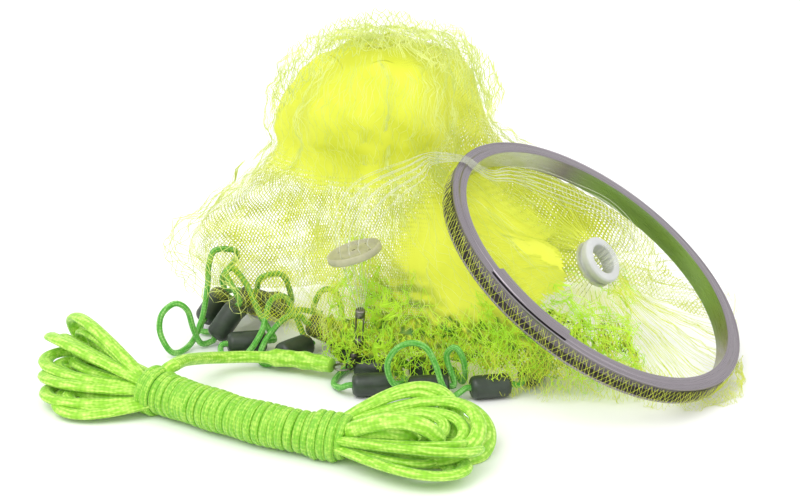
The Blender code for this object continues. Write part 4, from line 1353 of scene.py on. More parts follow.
def make_foot_folds_painted_shade(materials):
    """Painted shade behind the foot's curtain: a dark sheet of folded netting that lies more openly downward
    and to the right.
    """
    rows, columns = FOOT_FOLDS_ROWS, FOOT_FOLDS_COLUMNS
    along, down = np.meshgrid(np.linspace(0.04, 0.97, columns), np.linspace(0.0, 0.86, rows))
    points, _ = curtain(FOOT, along, down, 163, FOOT_FOLDS_BEHIND)
    # Painted shade: how dark the sheet is, broken up by a fine ripple.
    dark = np.clip(0.6 + 0.7 * ripple(points, 7.0, 167), 0.0, 1.0)
    close = np.clip(0.8 + 0.3 * ripple(points, 16.0, 173) - 0.5 * down**2 - 0.5 * along**4, 0.0, 1.0)
    quads, corner_rows, corner_columns = grid_faces(rows, columns, wrap_columns=False)
    across, up = FOOT_FOLDS_PATTERN
    uv = np.stack([across * corner_columns / columns, up * corner_rows / rows], axis=-1)
    points = clear_of_floor(points.reshape(-1, 3))
    shown = np.repeat(off_ring(points)[quads].all(axis=1), 4)
    folds = add_piece("net_foot_folds", points, quads[shown[::4]], materials["mass"], corner_uv=uv[shown])
    add_lay(folds, close, dark)
    return folds


FAN_LINES = 170
FAN_STEPS = 14
FAN_SAG = 5.0
FAN_UNDER_RING = 6.0
FAN_SIZE = 0.8
FAN_CRUMPLE = ((60.0, 1.2, 0.4), (16.0, 0.2, 0.4), (6.0, 0.1, 0.35))


def make_fan(settings, materials):
    """Netting drawn from the horn's groove out behind the ring: two families of nearly straight lines.

    Each line runs in even steps from the horn's waist to the ring's rim and sags by half a sine wave. Under
    the ring's channel it is pushed down behind it.
    """
    share = np.linspace(0.0, 1.0, FAN_STEPS)[None, :]
    angle = 2 * math.pi * np.arange(FAN_LINES)[:, None] / FAN_LINES
    spread = np.stack([np.cos(angle), np.sin(angle)], axis=-1)
    families = []
    for way, seed in ((1, 3), (-1, 4)):
        bunch = 0.10 * ripple(spread, 0.2, seed) + 0.04 * ripple(spread, 0.03, seed + 2)
        turn = angle + way * (0.05 + 0.05 * ripple(spread, 0.4, seed + 4)) * share + bunch * share
        horn_side = np.cos(angle)[..., None] * RING[:, 0] + np.sin(angle)[..., None] * RING[:, 1]
        horn_side = unit(horn_side - (horn_side @ HORN[:, 2])[..., None] * HORN[:, 2])
        start = HORN_CENTRE + (HORN_WAIST + 0.6) * horn_side
        ring_side = np.cos(turn)[..., None] * RING[:, 0] + np.sin(turn)[..., None] * RING[:, 1]
        end = RING_CENTRE + (RING_OUTER + 1.5) * ring_side - (RING_DEPTH + 1.2) * RING[:, 2]
        sag = FAN_SAG * np.sin(math.pi * share)
        lines = start * (1 - share[..., None]) + end * share[..., None] - sag[..., None] * RING[:, 2]
        families.append(lines)
    lines = np.vstack(families)
    normals = np.broadcast_to(RING[:, 2], lines.shape)
    lines = crumpled(lines, normals, FAN_CRUMPLE, 43)
    ceiling = -RING_DEPTH - 0.9
    local = ring_local(lines)
    near_ring = np.hypot(local[..., 0], local[..., 1]) > RING_INNER - FAN_UNDER_RING
    over = np.where(near_ring, local[..., 2] - ceiling, 0.0)
    lines = lines - np.maximum(over, 0.0)[..., None] * RING[:, 2]
    keep = np.ones((len(lines), FAN_STEPS - 1), bool)
    points, quads = twine_along(lines, normals, keep, FAN_SIZE, settings)
    return add_piece("net_fan", points, quads, materials["twine"])


# ---------------------------------------------------------------- ring, horn and plate


# The stretch of the inner wall where the netting's reflection is painted: its middle and half its length, in
# degrees.
PAINTED_NET_REFLECTION_MIDDLE = -12.0
PAINTED_NET_REFLECTION_REACH = 62.0
PAINTED_NET_REFLECTION_SHARE = 0.75
# The stretch where the light's reflection is painted.
PAINTED_LIGHT_REFLECTION_MIDDLE = 84.0
PAINTED_LIGHT_REFLECTION_REACH = 56.0
PAINTED_LIGHT_REFLECTION_SHARE = 0.9
PAINTED_REFLECTION_FADE = 30.0
RING_SEGMENTS = 300
SLEEVE_SEGMENTS = 40
SLEEVE_WALL = 1.5
HORN_SEGMENTS = 96
RING_SHARP = 28.0
MERGE_DISTANCE = 2e-6


def make_ring(materials):
    """The throwing ring: a channel's profile, open outward, with a crease in its top, turned all round.

    Its attribute of painted reflection is above 0 on the stretch of the inner wall where the netting's
    reflection is painted and below 0 on the one where the light's reflection is painted, each fading towards
    its ends.
    """
    inner, outer, depth, wall = RING_INNER, RING_OUTER, RING_DEPTH, RING_WALL
    crease = inner + 0.48 * (outer - inner)
    profile = (
        (inner, 0.0),
        (crease, 0.0),
        (crease + 0.6, -0.9),
        (outer - 1.6, -1.1),
        (outer - 1.1, -0.5),
        (outer, -0.7),
        (outer - 0.4, -2.6),
        (inner + wall, -wall),
        (inner + wall, wall - depth),
        (outer, wall - depth),
        (outer, -depth),
        (inner, -depth),
    )
    points, quads, _, uv = turned(rounded(profile, 0.6), RING_SEGMENTS, RING_CENTRE, RING)
    ring = add_piece("throwing_ring", points, quads, materials["ring"], corner_uv=uv, sharp=RING_SHARP)
    local = ring_local(points)
    turn = np.degrees(np.arctan2(local[:, 1], local[:, 0]))
    on_wall = (np.hypot(local[:, 0], local[:, 1]) < inner + 0.35) & (local[:, 2] < -0.4)
    # Shares of the painted reflections along the inner wall.
    share = np.zeros(len(points))
    for middle, reach, most in (
        (PAINTED_NET_REFLECTION_MIDDLE, PAINTED_NET_REFLECTION_REACH, PAINTED_NET_REFLECTION_SHARE),
        (PAINTED_LIGHT_REFLECTION_MIDDLE, PAINTED_LIGHT_REFLECTION_REACH, -PAINTED_LIGHT_REFLECTION_SHARE),
    ):
        away = np.abs((turn - middle + 180.0) % 360.0 - 180.0)
        share += most * on_wall * np.clip((reach - away) / PAINTED_REFLECTION_FADE, 0.0, 1.0)
    layer = ring.data.attributes.new("mirrored", "FLOAT", "POINT")
    layer.data.foreach_set("value", share.astype(np.float32))
    return ring


def make_sleeve(materials):
    """The sleeve pressed over the ring's joint: a bent strip's profile turned between two angles."""
    leg, edge, wall = RING_INNER - 0.55, RING_OUTER - 1.6, SLEEVE_WALL
    profile = (
        (edge, 0.35),
        (leg, 0.35),
        (leg, 4.5 - RING_DEPTH),
        (leg - wall, 4.5 - RING_DEPTH),
        (leg - wall, 1.05),
        (leg - wall + 0.6, 1.65),
        (edge - 0.5, 1.65),
    )
    shape = turned(rounded(profile, 0.5), SLEEVE_SEGMENTS, RING_CENTRE, RING, SLEEVE_ANGLES)
    points, quads, triangles, uv = shape
    return add_piece("ring_splice", points, quads, materials["ring"], triangles, uv, sharp=RING_SHARP)


# Lines laced round the channel. Columns: how many, their slant in radians, seed.
LACING = ((270, 0.045, 7), (150, -0.06, 8), (60, 0.11, 9))
LACING_STEPS = 7
LACING_SIZE = 0.95


def make_lacing(settings, materials):
    """Netting laced across the mouth of the ring's channel, each line bowed out by half a sine wave."""
    lines = []
    for count, slant, seed in LACING:
        k = np.arange(count)[:, None]
        share = np.linspace(0.0, 1.0, LACING_STEPS)[None, :]
        base = 2 * math.pi * k / count
        spread = np.stack([np.cos(base), np.sin(base)], axis=-1)
        angle = base + slant * (share - 0.5) + 0.02 * ripple(spread, 0.25, seed)
        height = -1.4 - (RING_DEPTH - 1.2) * share
        bow = 0.5 + 0.9 * np.abs(ripple(spread, 0.12, seed + 20)) * np.sin(math.pi * share)
        radius = RING_OUTER + bow
        out = np.cos(angle)[..., None] * RING[:, 0] + np.sin(angle)[..., None] * RING[:, 1]
        lines.append(RING_CENTRE + radius[..., None] * out + height[..., None] * RING[:, 2])
    lines = np.vstack(lines)
    normals = unit(lines - RING_CENTRE)
    keep = np.ones((len(lines), lines.shape[1] - 1), bool)
    points, quads = twine_along(lines, normals, keep, LACING_SIZE, settings)
    return add_piece("ring_lacing", points, quads, materials["twine"])


def make_horn(materials):
    """The horn: a collar's profile with a groove round it, turned about its bore."""
    bore, waist, rim, half = HORN_BORE, HORN_WAIST, HORN_RIM, HORN_GROOVE / 2
    profile = (
        (bore, HORN_FRONT - 0.6),
        (bore + 1.0, HORN_FRONT),
        (rim - 1.4, HORN_FRONT),
        (rim, HORN_FRONT - 1.4),
        (rim, half),
        (waist, half),
        (waist, -half),
        (rim, -half),
        (rim, 0.9 - HORN_BACK),
        (rim - 0.9, -HORN_BACK),
        (bore + 0.8, -HORN_BACK),
        (bore, 0.8 - HORN_BACK),
    )
    points, quads, _, uv = turned(rounded(profile, 0.6), HORN_SEGMENTS, HORN_CENTRE, HORN)
    return add_piece("horn_collar", points, quads, materials["horn"], corner_uv=uv, sharp=40.0)


def refined_copy(node, name, material, sharp):
    """A CAD node's mesh with its loose triangles joined and its round faces shaded smooth."""
    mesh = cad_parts[node].data.copy()
    mesh.name = name
    shape = bmesh.new()
    shape.from_mesh(mesh)
    bmesh.ops.remove_doubles(shape, verts=shape.verts, dist=MERGE_DISTANCE)
    shape.to_mesh(mesh)
    shape.free()
    mesh.materials.clear()
    mesh.materials.append(material)
    mesh.shade_smooth()
    mesh.set_sharp_from_angle(angle=math.radians(sharp))
    thing = bpy.data.objects.new(name, mesh)
    bpy.context.collection.objects.link(thing)
    return thing


# ---------------------------------------------------------------- lines and ropes


HANK_TURN_POINTS = 30
HANK_ROPE_HEIGHT = 4.6
HANK_ROPE_OVERLAP = 1.12
HANK_ROD = 25.0
HANK_LEAN = 2.2
HANK_ROPE_INSET = 2.2
# The bights' rope: its width and height as shares of the hand line's diameter, and how high its middle stays.
BIGHT_SHARES = (1.6, 0.95)
BIGHT_HEIGHT = 3.6
BIGHT_SPACING = 2.5
TAIL_LEAD_SIZE = (10.6, 8.6)
# The loose end: its width and height, the share of its length where the splice starts, the share where the
# tip starts to narrow, and over what share each of these changes.
TAIL_SIZE = (11.0, 9.0)
SPLICE_FROM = 0.66
TIP_FROM = 0.95
TAIL_CHANGE = 0.05
TAIL_SPACING = 2.0
BRAIL_SHOWN = 0.42
BRAIL_PARTING = 2.6
BRAIL_SPACING = 3.0
LEAD_STRAIGHT = 3.5
LEAD_SPACING = 2.2
SINKER_CORNER = 4.2
SINKER_SEGMENTS = 30


def brail_places():
    """Where each line passes the plate: even steps along its diameter, on one side and the other in turn."""
    along = 1.0 - 2.0 * (np.arange(BRAIL_COUNT) + 0.5) / BRAIL_COUNT
    across = np.sqrt(1.0 - along**2) * (-1.0) ** np.arange(BRAIL_COUNT)
    return list(zip(along, across))


def brail_route(along, across, spread):
    """One line: from the crimp through its hole in the plate, over the ring's rim and down through the horn.

    Each of its places is a mix of the two sides of the bundle, and spread moves it aside between the ends.
    """
    share = (1.0 - along) / 2
    route = [CRIMP_TOP + np.array((-2.7 * along, 2.4 * across, 0.6))]
    for height in (-0.45, 1.2):
        spot = np.array((-PLATE_HOLE_CIRCLE * along, PLATE_HOLE_CIRCLE * across, height * PLATE_THICKNESS))
        route.append(PLATE_CENTRE + PLATE @ spot)
    for k, row in enumerate(BRAILS_TO_RING):
        outer, inner = np.array(row[0:3]), np.array(row[3:6])
        sway = spread * (3 - k) * np.array((0.6, 1.0, 1.0)) / 3
        route.append(outer * (1 - share) + inner * share + np.array((0.0, row[6] * across, 0.0)) + sway)
    for k, row in enumerate(BRAILS_ON_RING):
        outer, inner = np.array(row[0:3]), np.array(row[3:6])
        sway = spread * (3 < k < 11) * np.array((0.8, 1.0, 0.8))
        spot = outer * (1 - share) + inner * share + np.array((0.0, 0.0, row[6] * across)) + sway
        route.append(RING_CENTRE + RING @ spot)
    return smooth_route(route, BRAIL_SPACING)


def make_brails(materials):
    """Each brail line is a doubled monofilament: two thin tubes that part a little between plate and horn."""
    pieces = []
    for k, (along, across) in enumerate(brail_places()):
        section = oval(BRAIL_SHOWN, BRAIL_SHOWN, 6)
        spreads = (0.0, BRAIL_PARTING * (-1) ** k)
        parts = [swept(brail_route(along, across, spread), section)[:3] for spread in spreads]
        points, quads, caps = merged(parts)
        pieces.append(add_piece(f"brail_line_{k + 1}", points, quads, materials["brail"], caps))
    return pieces


def heading_vector(heading, rise):
    """The unit vector with a heading in plan and a rise, both in degrees."""
    level = math.cos(math.radians(rise))
    turn = math.radians(heading)
    return np.array((level * math.cos(turn), level * math.sin(turn), math.sin(math.radians(rise))))


def make_lead_line(materials):
    """The plaited rope, straight through each weight and free between them."""
    half = SINKER_LENGTH / 2
    reaches = (-half - LEAD_STRAIGHT, -half, 0.0, half, half + LEAD_STRAIGHT)
    points = []
    for kind, *row in LEAD_LINE:
        if kind == "bend":
            points.append(row)
            continue
        axis = heading_vector(row[3], row[4])
        points += [np.array(row[:3]) + axis * reach for reach in reaches]
    route = clear_of_floor(smooth_route(points, LEAD_SPACING), LEAD_LINE_DIAMETER / 2 + 0.1)
    points, quads, caps, uv = swept(route, oval(LEAD_LINE_DIAMETER, LEAD_LINE_DIAMETER, 12))
    return add_piece("lead_rope", points, quads, materials["lead_rope"], caps, uv)


def make_sinkers(materials):
    """Each weight is a barrel: a profile with rounded shoulders and a dimpled end, turned about the rope."""
    half, radius, bore = SINKER_LENGTH / 2, SINKER_RADIUS, LEAD_LINE_DIAMETER / 2 + 0.25
    shoulder = np.radians(np.linspace(0.0, 78.0, 6))
    round_of = SINKER_CORNER * np.stack([np.cos(shoulder), np.sin(shoulder)], axis=-1)
    arc = (radius - SINKER_CORNER, half - SINKER_CORNER) + round_of
    upper = np.vstack([[(radius + 0.15, 0.0)], arc, [(bore + 1.2, half + 0.1), (bore, half - 0.8)]])
    profile = np.vstack([upper, upper[:0:-1] * (1, -1)])
    weights = []
    for kind, *row in LEAD_LINE:
        if kind == "bend":
            continue
        axes = upright_frame(heading_vector(row[3], row[4]), (0.0, 0.0, 1.0))
        points, quads, _, uv = turned(profile, SINKER_SEGMENTS, np.array(row[:3]), axes)
        points = clear_of_floor(points, 0.3)
        name = f"weight_{len(weights) + 1:02d}"
        weights.append(add_piece(name, points, quads, materials["sinker"], corner_uv=uv, sharp=50.0))
    return weights


def make_hank(materials):
    """The wrapped middle: one long helix of flattened rope on a filling rod, thicker at its collars."""
    axis = smooth_route(HANK_AXIS, 1.0)
    length = route_length(axis)
    share = np.linspace(0.0, 1.0, HANK_TURN_POINTS * HANK_TURNS)
    at = share * (len(axis) - 1)
    middle = np.stack([np.interp(at, np.arange(len(axis)), axis[:, k]) for k in range(3)], axis=-1)
    tangent = unit(np.gradient(middle, axis=0))
    side = unit(np.cross(UP, tangent))
    rise = np.cross(tangent, side)
    number = share * HANK_TURNS
    extra = np.zeros_like(number)
    for first, last, more in HANK_COLLARS:
        extra += more * np.clip(2.0 * np.minimum(number - first + 0.3, last - number + 0.3), 0.0, 1.0)
    angle = 2 * math.pi * number
    radius = HANK_RADIUS - HANK_ROPE_INSET + extra + 0.35 * ripple(middle, 30.0, 61)
    out = side * np.cos(angle)[:, None] + rise * np.sin(angle)[:, None]
    lean = HANK_LEAN * np.sin(angle) + 0.8 * ripple(middle, 18.0, 62)
    route = middle + out * radius[:, None] + tangent * lean[:, None]
    wound = unit(np.gradient(route, axis=0))
    across = unit(np.cross(wound, out))
    section = oval(length / HANK_TURNS * HANK_ROPE_OVERLAP, HANK_ROPE_HEIGHT, 10)
    points, quads, caps, uv = swept(route, section, frames=(across, -np.cross(wound, across)))
    wound_line = (clear_of_floor(points, 0.3), quads[:, ::-1], caps[:, ::-1], uv)
    rod = swept(axis, oval(HANK_ROD, HANK_ROD, 24))
    # The wraps take a darker copy of the hand line's colours: painted shade.
    return joined("hand_line_wraps", [wound_line, rod], materials["wound_rope_painted_shade"])


def joined(name, parts, material):
    """Several swept shapes in one piece, none of them below the floor.

    Each part holds its points, quads, cap triangles and corner UVs. The piece's UVs are those of all the
    quads and then those of all the caps.
    """
    points, quads, caps = merged([part[:3] for part in parts])
    quad_uv = [uv[: part_quads.size] for _, part_quads, _, uv in parts]
    cap_uv = [uv[part_quads.size :] for _, part_quads, _, uv in parts]
    return add_piece(name, clear_of_floor(points, 0.15), quads, material, caps, np.vstack(quad_uv + cap_uv))


def bight_route(root, tip, width, roll, swell):
    """A bight: out from the root to the tip and back, widest two thirds of the way along.

    With t from 0 to pi, its point is root + reach * sin t, and to the side half the width, plus the swell,
    times sin 2t, and half the parting times cos t.
    """
    reach = np.asarray(tip, float) - root
    frame_axes = upright_frame(reach, (0.0, 0.0, 1.0))
    turn = math.radians(roll)
    side = math.cos(turn) * frame_axes[:, 0] + math.sin(turn) * frame_axes[:, 1]
    t = math.pi * np.arange(BIGHT_STEPS) / (BIGHT_STEPS - 1)
    across = (width / 2 + swell) * np.sin(2 * t) + BIGHT_PARTING / 2 * np.cos(t)
    return root + reach * np.sin(t)[:, None] + side * across[:, None]


def make_bights(materials):
    """The bights at both ends of the hank, each with more strands lying close inside it.

    The last part is the stretch of rope that leads the loose end out from under the collar.
    """
    axis = np.array(HANK_AXIS, float)
    parts = []
    for end, before, bights in ((axis[0], axis[1], LEFT_BIGHTS), (axis[-1], axis[-2], RIGHT_BIGHTS)):
        inward = unit(before - end)
        side = np.cross(inward, UP)
        for k, (x, y, z, width, roll) in enumerate(bights):
            turn = 2 * math.pi * k / len(bights)
            root = end + inward * BIGHT_ROOT
            root = root + side * BIGHT_ROOT_RADIUS * math.cos(turn) + UP * BIGHT_ROOT_RADIUS * math.sin(turn)
            tip, way = np.array((x, y, z), float), 1 if k % 2 else -1
            nearer = root + (tip - root) * 0.9 + np.array((0.0, 2.0, 3.0)) * way
            inner = root + (tip - root) * 0.76 + np.array((0.0, -2.0, -1.0)) * way
            for goal, swell, size in ((tip, 0.0, 1.0), (nearer, -6.0, 0.94), (inner, -12.0, 0.9)):
                route = smooth_route(bight_route(root, goal, width, roll, swell), BIGHT_SPACING)
                section = oval(*(share * size * HAND_LINE_DIAMETER for share in BIGHT_SHARES), 12)
                parts.append(swept(clear_of_floor(route, BIGHT_HEIGHT), section))
    parts.append(swept(smooth_route(TAIL_LEAD, 1.0), oval(*TAIL_LEAD_SIZE, 14)))
    return joined("hand_line_bights", parts, materials["hand_rope"])


def make_tail(materials):
    """The loose end: a flat stretch from the hank, swelling into the lumpy buried splice at the eye.

    Gives the piece and its route. Its width and height are those of the line, more over the splice, and less
    at the tip.
    """
    route = smooth_route(TAIL_ROUTE, TAIL_SPACING)
    share = np.linspace(0.0, 1.0, len(route))
    splice = np.clip((share - SPLICE_FROM) / TAIL_CHANGE, 0.0, 1.0)
    lump = (0.7 * np.sin(46.0 * share) + 0.5 * np.sin(83.0 * share)) * splice
    taper = 3.5 * np.clip((share - TIP_FROM) / TAIL_CHANGE, 0.0, 1.0)
    width = TAIL_SIZE[0] + 3.2 * splice + lump - taper
    height = TAIL_SIZE[1] + 4.0 * splice + lump - taper
    section = oval(width[:, None], height[:, None], 14)
    return joined("hand_line_end", [swept(route, section)], materials["hand_rope"]), route


# ---------------------------------------------------------------- what a user would change


def colour(name, description, default):
    """A colour that a user can change."""
    return FloatVectorProperty(
        name=name, description=description, subtype="COLOR", size=3, min=0.0, default=default
    )


class NettingSettings(bpy.types.PropertyGroup):
    """The netting's twine and dyes."""

    twine_diameter: FloatProperty(
        name="Twine Diameter", description="Thickness of the netting's twine", default=TWINE * MM,
        min=0.0001, max=0.002, precision=5, unit="LENGTH",
    )
    # Painted light: the pale twine is a lighter copy of the twine, for light through single strands, and the
    # bright twine a brighter copy that lifts the shade of the crumpled foot.
    pale: colour("Pale Twine", "Twine that lies singly and lets light through", (0.62, 0.68, 0.22))
    pale_shade: colour("Pale Twine Shade", "The pale twine's darker stretches", (0.48, 0.56, 0.13))
    twine: colour("Twine", "Twine inside the heap", (0.56, 0.62, 0.06))
    twine_shade: colour("Twine Shade", "Its darker stretches", (0.47, 0.54, 0.05))
    bright: colour("Bright Twine", "Twine of the crumpled foot and of the ring's lacing", (0.50, 0.74, 0.04))
    bright_shade: colour("Bright Twine Shade", "Its darker stretches", (0.34, 0.62, 0.025))
    mass: colour("Netting Mass", "Netting that lies closely, layer on layer", (0.52, 0.56, 0.03))
    mass_shade: colour("Netting Mass Shade", "Between its meshes", (0.50, 0.55, 0.04))
    # Painted shade: the dark colour painted on the netting at the bottom of the folds.
    folds: colour("Deep Folds", "The netting at the bottom of the folds", (0.05, 0.15, 0.01))
    # Painted light: how strongly the netting mass glows in its own colour.
    mass_glow: FloatProperty(
        name="Mass Glow", description="Light of the dye's own in the netting mass", default=0.26,
        min=0.0, max=2.0,
    )
    # Painted light: how strongly single twine glows in its own colour.
    twine_glow: FloatProperty(
        name="Twine Glow", description="Light of the dye's own in single twine", default=0.3, min=0.0, max=2.0
    )


class FittingSettings(bpy.types.PropertyGroup):
    """The ring, horn, plate, lines and wires."""

    ring: colour("Ring", "Anodised metal of the throwing ring and its sleeve", (0.25, 0.225, 0.245))
    # Painted reflections: the green and the light grey mixed into the colour of the ring's inner wall.
    mirrored: colour("Ring's Inner Wall", "Green that the bright inner wall mirrors", (0.25, 0.42, 0.09))
    lit: colour("Ring's Lit Wall", "Light grey that the bright inner wall mirrors", (0.58, 0.60, 0.52))
    ring_roughness: FloatProperty(
        name="Ring Roughness", description="How dull the drawn metal is", default=0.3, min=0.0, max=1.0
    )
    horn: colour("Horn", "Moulded horn", (0.54, 0.55, 0.54))
    plate: colour("Brail Plate", "Moulded plate", (0.40, 0.39, 0.24))
    line: colour("Brail Line", "Clear monofilament", (0.74, 0.77, 0.62))
    steel: colour("Steel Wire", "Leader and split ring", (0.24, 0.23, 0.19))
    swivel: colour("Swivel", "Dark plating of the swivel", (0.11, 0.10, 0.085))


class RopeSettings(bpy.types.PropertyGroup):
    """The lead line with its weights, and the hand line."""

    lead: colour("Lead Line", "Plaited lead line", (0.065, 0.36, 0.018))
    # Painted highlight: the pale colour of the lead line's streaks where strands pass over.
    lead_painted_highlight: colour("Lead Line Fleck", "Pale strands plaited into the lead line", (0.36, 0.66, 0.20))
    sinker: colour("Weight", "Vinyl skin of the weights", (0.035, 0.05, 0.034))
    hand: colour("Hand Line", "Hollow braid of the hand line", (0.25, 0.58, 0.014))
    # Painted highlight: the pale colour of the hand line's streaks where strands pass over.
    hand_painted_highlight: colour("Hand Line Fleck", "Light caught by the braid's strands", (0.70, 0.90, 0.20))
    # Painted shade: the wound hand line is a darker copy of the hand line's colours, with its own painted
    # highlight.
    wound: colour("Wound Hand Line", "Hand line where it is wound tightly", (0.18, 0.50, 0.012))
    wound_painted_highlight: colour("Wound Hand Line Fleck", "Light caught by the wound strands", (0.56, 0.78, 0.12))
    # Painted light: how strongly the ropes glow in their own colour.
    rope_glow: FloatProperty(
        name="Rope Glow", description="Light of the dye's own in the ropes", default=0.06, min=0.0, max=2.0
    )


class StageSettings(bpy.types.PropertyGroup):
    """Floor, light and camera."""

    floor: colour("Floor", "Plain pale floor", (0.93, 0.93, 0.93))
    sky: FloatProperty(name="Sky", description="Light from all round", default=1.15, min=0.0, max=10.0)
    key: FloatProperty(
        name="Key Light", description="Power of the main lamp", default=26.0, min=0.0, unit="POWER"
    )
    fill: FloatProperty(
        name="Fill Light", description="Power of the second lamp", default=10.0, min=0.0, unit="POWER"
    )
    lens: FloatProperty(
        name="Lens", description="Focal length of the camera", default=104.97, min=10.0, unit="CAMERA"
    )


FLOOR_REACH = 6.0
LAMP_SIZE = 1.6
CAMERA_SENSOR = 36.0
CAMERA_FAR = 50.0
CAMERA_PLACE = (0.0041, -1.61187, 0.68603)
CAMERA_TILT = 70.0
# CAD nodes whose own mesh is finished. Columns: node, piece, finish, sharp angle, body.
FITTING_COPIES = (
    ("brail_plate", "brail_disc", "plate", 30.0, "heap"),
    ("leader", "leader_wire", "steel", 35.0, "heap"),
    ("swivel_upper_eye", "swivel_eye_upper", "swivel", 35.0, "heap"),
    ("swivel_barrel", "swivel_body", "swivel", 35.0, "swivel"),
    ("swivel_lower_eye", "swivel_eye_lower", "swivel", 35.0, "heap"),
    ("snap_ring", "split_ring", "steel", 35.0, "heap"),
)
PALETTE = {}


def mesh_area(piece):
    """The sum of the areas of a piece's faces, in square metres."""
    areas = np.empty(len(piece.data.polygons), np.float32)
    piece.data.polygons.foreach_get("area", areas)
    return float(areas.sum())


def dyes(settings, *names):
    """Colours of a settings group as plain tuples."""
    return [tuple(getattr(settings, name)) for name in names]


def palette(scene):
    """Every material by a short name, made from the settings when the first piece asks for one."""
    if not PALETTE:
        # Copies of one twine: the pale and the bright ones carry painted light.
        net, fit, rope = scene.cast_net, scene.cast_net_fittings, scene.cast_net_ropes
        for name, title, shades in (
            ("pale twine", "pale twine", ("pale", "pale_shade")),
            ("twine", "inner twine", ("twine", "twine_shade")),
            ("bright twine", "bright twine", ("bright", "bright_shade")),
        ):
            PALETTE[name] = twine_finish(title, *dyes(net, *shades), net.twine_glow)
        PALETTE["mass"] = mass_finish(net)
        # The ring's colours, with the painted reflections of its inner wall.
        ring, mirrored, lit = dyes(fit, "ring", "mirrored", "lit")
        PALETTE["ring"] = ring_finish(ring, fit.ring_roughness, mirrored, lit)
        PALETTE["horn"] = moulded_finish("horn plastic", *dyes(fit, "horn"), 0.34, 0.93, translucence=0.1)
        PALETTE["plate"] = moulded_finish("plate plastic", *dyes(fit, "plate"), 0.42, 0.85)
        PALETTE["brail"] = line_finish("clear monofilament", *dyes(fit, "line"))
        PALETTE["steel"] = wire_finish("steel wire", *dyes(fit, "steel"), 0.28)
        PALETTE["swivel"] = wire_finish("dark plating", *dyes(fit, "swivel"), 0.25)
        # Each rope's second colour is its painted highlight.
        for name, title, shades, plaits, around, highlight_share in (
            ("lead_rope", "lead line plait", ("lead", "lead_painted_highlight"), 210.0, 3.0, 0.7),
            ("hand_rope", "hand line braid", ("hand", "hand_painted_highlight"), 150.0, 5.0, 0.66),
            ("wound_rope_painted_shade", "wound hand line braid", ("wound", "wound_painted_highlight"), 190.0, 5.0, 0.62),
        ):
            PALETTE[name] = rope_finish(title, *dyes(rope, *shades), plaits, around, highlight_share, rope.rope_glow)
        PALETTE["sinker"] = moulded_finish("weight vinyl", *dyes(rope, "sinker"), 0.36, 0.7, 120.0)
    return PALETTE


# ---------------------------------------------------------------- operators


class CASTNET_OT_stage(bpy.types.Operator):
    """Adds the floor, the lamps, the sky and the camera"""

    bl_idname = "cast_net.stage"
    bl_label = "Stage"

    def execute(self, context):
        scene, values = context.scene, context.scene.cast_net_stage
        floor_finish = Finish("pale floor", tuple(values.floor), 0.6)
        blotch = floor_finish.group(MOTTLE, Scale=3.0)["Blotch"]
        shade = tuple(0.985 * c for c in values.floor)
        floor_finish.feed("Base Color", floor_finish.mix(blotch, tuple(values.floor), shade))
        size = FLOOR_REACH / MM
        corners = np.array([(-size, -size, 0), (size, -size, 0), (size, size, 0), (-size, size, 0)], float)
        floor = add_piece("floor", corners - SHIFT, [(0, 1, 2, 3)], floor_finish.material, flat=True)
        for name, place, turn, power in (
            ("key", (-1.0, -1.1, 1.9), (38.0, 0.0, -42.0), values.key),
            ("fill", (1.7, -0.6, 1.3), (52.0, 0.0, 70.0), values.fill),
        ):
            lamp = bpy.data.lights.new(name, "AREA")
            lamp.energy, lamp.size = power, LAMP_SIZE
            light = bpy.data.objects.new(name, lamp)
            light.location, light.rotation_euler = place, [math.radians(a) for a in turn]
            scene.collection.objects.link(light)
        world = bpy.data.worlds.new("sky")
        scene.world = world
        world.use_nodes = True
        light_all_round = world.node_tree.nodes["Background"]
        light_all_round.inputs["Color"].default_value = (1.0, 1.0, 1.0, 1.0)
        light_all_round.inputs["Strength"].default_value = values.sky
        view = bpy.data.cameras.new("camera")
        view.lens, view.sensor_width, view.clip_end = values.lens, CAMERA_SENSOR, CAMERA_FAR
        camera = bpy.data.objects.new("camera", view)
        camera.location, camera.rotation_euler = CAMERA_PLACE, (math.radians(CAMERA_TILT), 0.0, 0.0)
        scene.collection.objects.link(camera)
        scene.camera = camera
        scene.view_settings.view_transform = "Standard"
        return {"FINISHED"}


def settle(piece, node, body=BODY):
    """Gives a finished piece its body and hides the solid that it stands for."""
    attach(piece, body)
    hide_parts(node)


class CASTNET_OT_netting(bpy.types.Operator):
    """Builds the net's close inner lay, its veils, its crumpled foot, its fan, its frill and its crest"""

    bl_idname = "cast_net.netting"
    bl_label = "Netting"

    def execute(self, context):
        values, finishes = context.scene.cast_net, palette(context.scene)
        core = make_core(finishes)
        loose = [
            *make_veils(values, finishes),
            make_band(values, finishes),
            make_curtain("net_foot", values, finishes),
            make_foot_folds_painted_shade(finishes),
            make_fan(values, finishes),
            make_curtain("net_ruffle", values, finishes),
            make_curtain("net_crest", values, finishes),
        ]
        for piece in (core, *loose):
            settle(piece, "netting")
        area = mesh_area(core)
        return {"FINISHED"}


class CASTNET_OT_ring(bpy.types.Operator):
    """Builds the throwing ring, its splice sleeve and the netting laced round it"""

    bl_idname = "cast_net.ring"
    bl_label = "Throwing Ring"

    def execute(self, context):
        finishes = palette(context.scene)
        settle(make_ring(finishes), "ring")
        settle(make_sleeve(finishes), "ring_sleeve")
        settle(make_lacing(context.scene.cast_net, finishes), "ring_lashing")
        return {"FINISHED"}


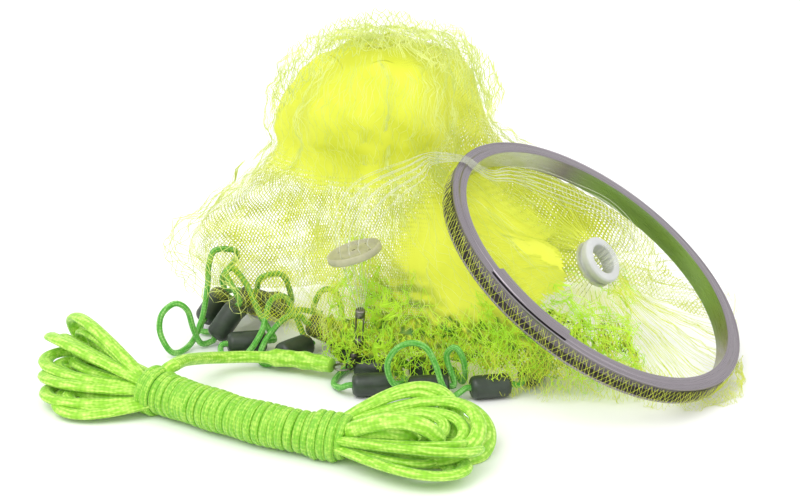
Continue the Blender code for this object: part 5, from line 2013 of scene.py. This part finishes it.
class CASTNET_OT_fittings(bpy.types.Operator):
    """Builds the horn, the brail plate, the leader, the swivel and the split ring"""

    bl_idname = "cast_net.fittings"
    bl_label = "Horn, Plate and Swivel"

    def execute(self, context):
        finishes = palette(context.scene)
        settle(make_horn(finishes), "horn")
        for node, name, finish, sharp, body in FITTING_COPIES:
            settle(refined_copy(node, name, finishes[finish], sharp), node, body)
        return {"FINISHED"}


class CASTNET_OT_brails(bpy.types.Operator):
    """Builds the eight doubled brail lines"""

    bl_idname = "cast_net.brails"
    bl_label = "Brail Lines"

    def execute(self, context):
        for k, piece in enumerate(make_brails(palette(context.scene))):
            settle(piece, f"brail_{k + 1}")
        return {"FINISHED"}


class CASTNET_OT_lead_line(bpy.types.Operator):
    """Builds the plaited lead line and its weights"""

    bl_idname = "cast_net.lead_line"
    bl_label = "Lead Line and Weights"

    def execute(self, context):
        finishes = palette(context.scene)
        settle(make_lead_line(finishes), "lead_line")
        for k, weight in enumerate(make_sinkers(finishes)):
            settle(weight, f"sinker_{k + 1:02d}")
        return {"FINISHED"}


class CASTNET_OT_hand_line(bpy.types.Operator):
    """Builds the hand line: its wound hank, the bights at both ends and the loose end with its splice"""

    bl_idname = "cast_net.hand_line"
    bl_label = "Hand Line"

    def execute(self, context):
        finishes = palette(context.scene)
        for piece in (make_hank(finishes), make_bights(finishes)):
            settle(piece, "hank")
        tail, route = make_tail(finishes)
        settle(tail, "hand_line_tail")
        return {"FINISHED"}


class CASTNET_PT_panel(bpy.types.Panel):
    """Lists what builds the cast net, with its sizes and colours"""

    bl_idname = "CASTNET_PT_panel"
    bl_label = "Cast Net"
    bl_space_type = "VIEW_3D"
    bl_region_type = "UI"
    bl_category = "Cast Net"

    def draw(self, context):
        for operator in OPERATORS:
            self.layout.operator(operator.bl_idname)
        for settings in SETTINGS:
            box = self.layout.box()
            box.label(text=settings.__doc__)
            for name in settings.__annotations__:
                box.prop(getattr(context.scene, SETTINGS[settings]), name)


OPERATORS = (
    CASTNET_OT_stage,
    CASTNET_OT_hand_line,
    CASTNET_OT_netting,
    CASTNET_OT_ring,
    CASTNET_OT_fittings,
    CASTNET_OT_brails,
    CASTNET_OT_lead_line,
)
SETTINGS = {
    NettingSettings: "cast_net",
    FittingSettings: "cast_net_fittings",
    RopeSettings: "cast_net_ropes",
    StageSettings: "cast_net_stage",
}


def register():
    """Makes the operators, the settings and the panel known."""
    for kind in (*SETTINGS, *OPERATORS, CASTNET_PT_panel):
        bpy.utils.register_class(kind)
    for settings, name in SETTINGS.items():
        setattr(bpy.types.Scene, name, PointerProperty(type=settings))


def unregister():
    """Takes them all away again."""
    for name in SETTINGS.values():
        delattr(bpy.types.Scene, name)
    for kind in reversed((*SETTINGS, *OPERATORS, CASTNET_PT_panel)):
        bpy.utils.unregister_class(kind)


def main():
    """Makes the operators, settings and panel known, then builds every piece in order."""
    register()
    for operator in OPERATORS:
        group, name = operator.bl_idname.split(".")
        getattr(getattr(bpy.ops, group), name)()


if __name__ == "__main__":
    main()
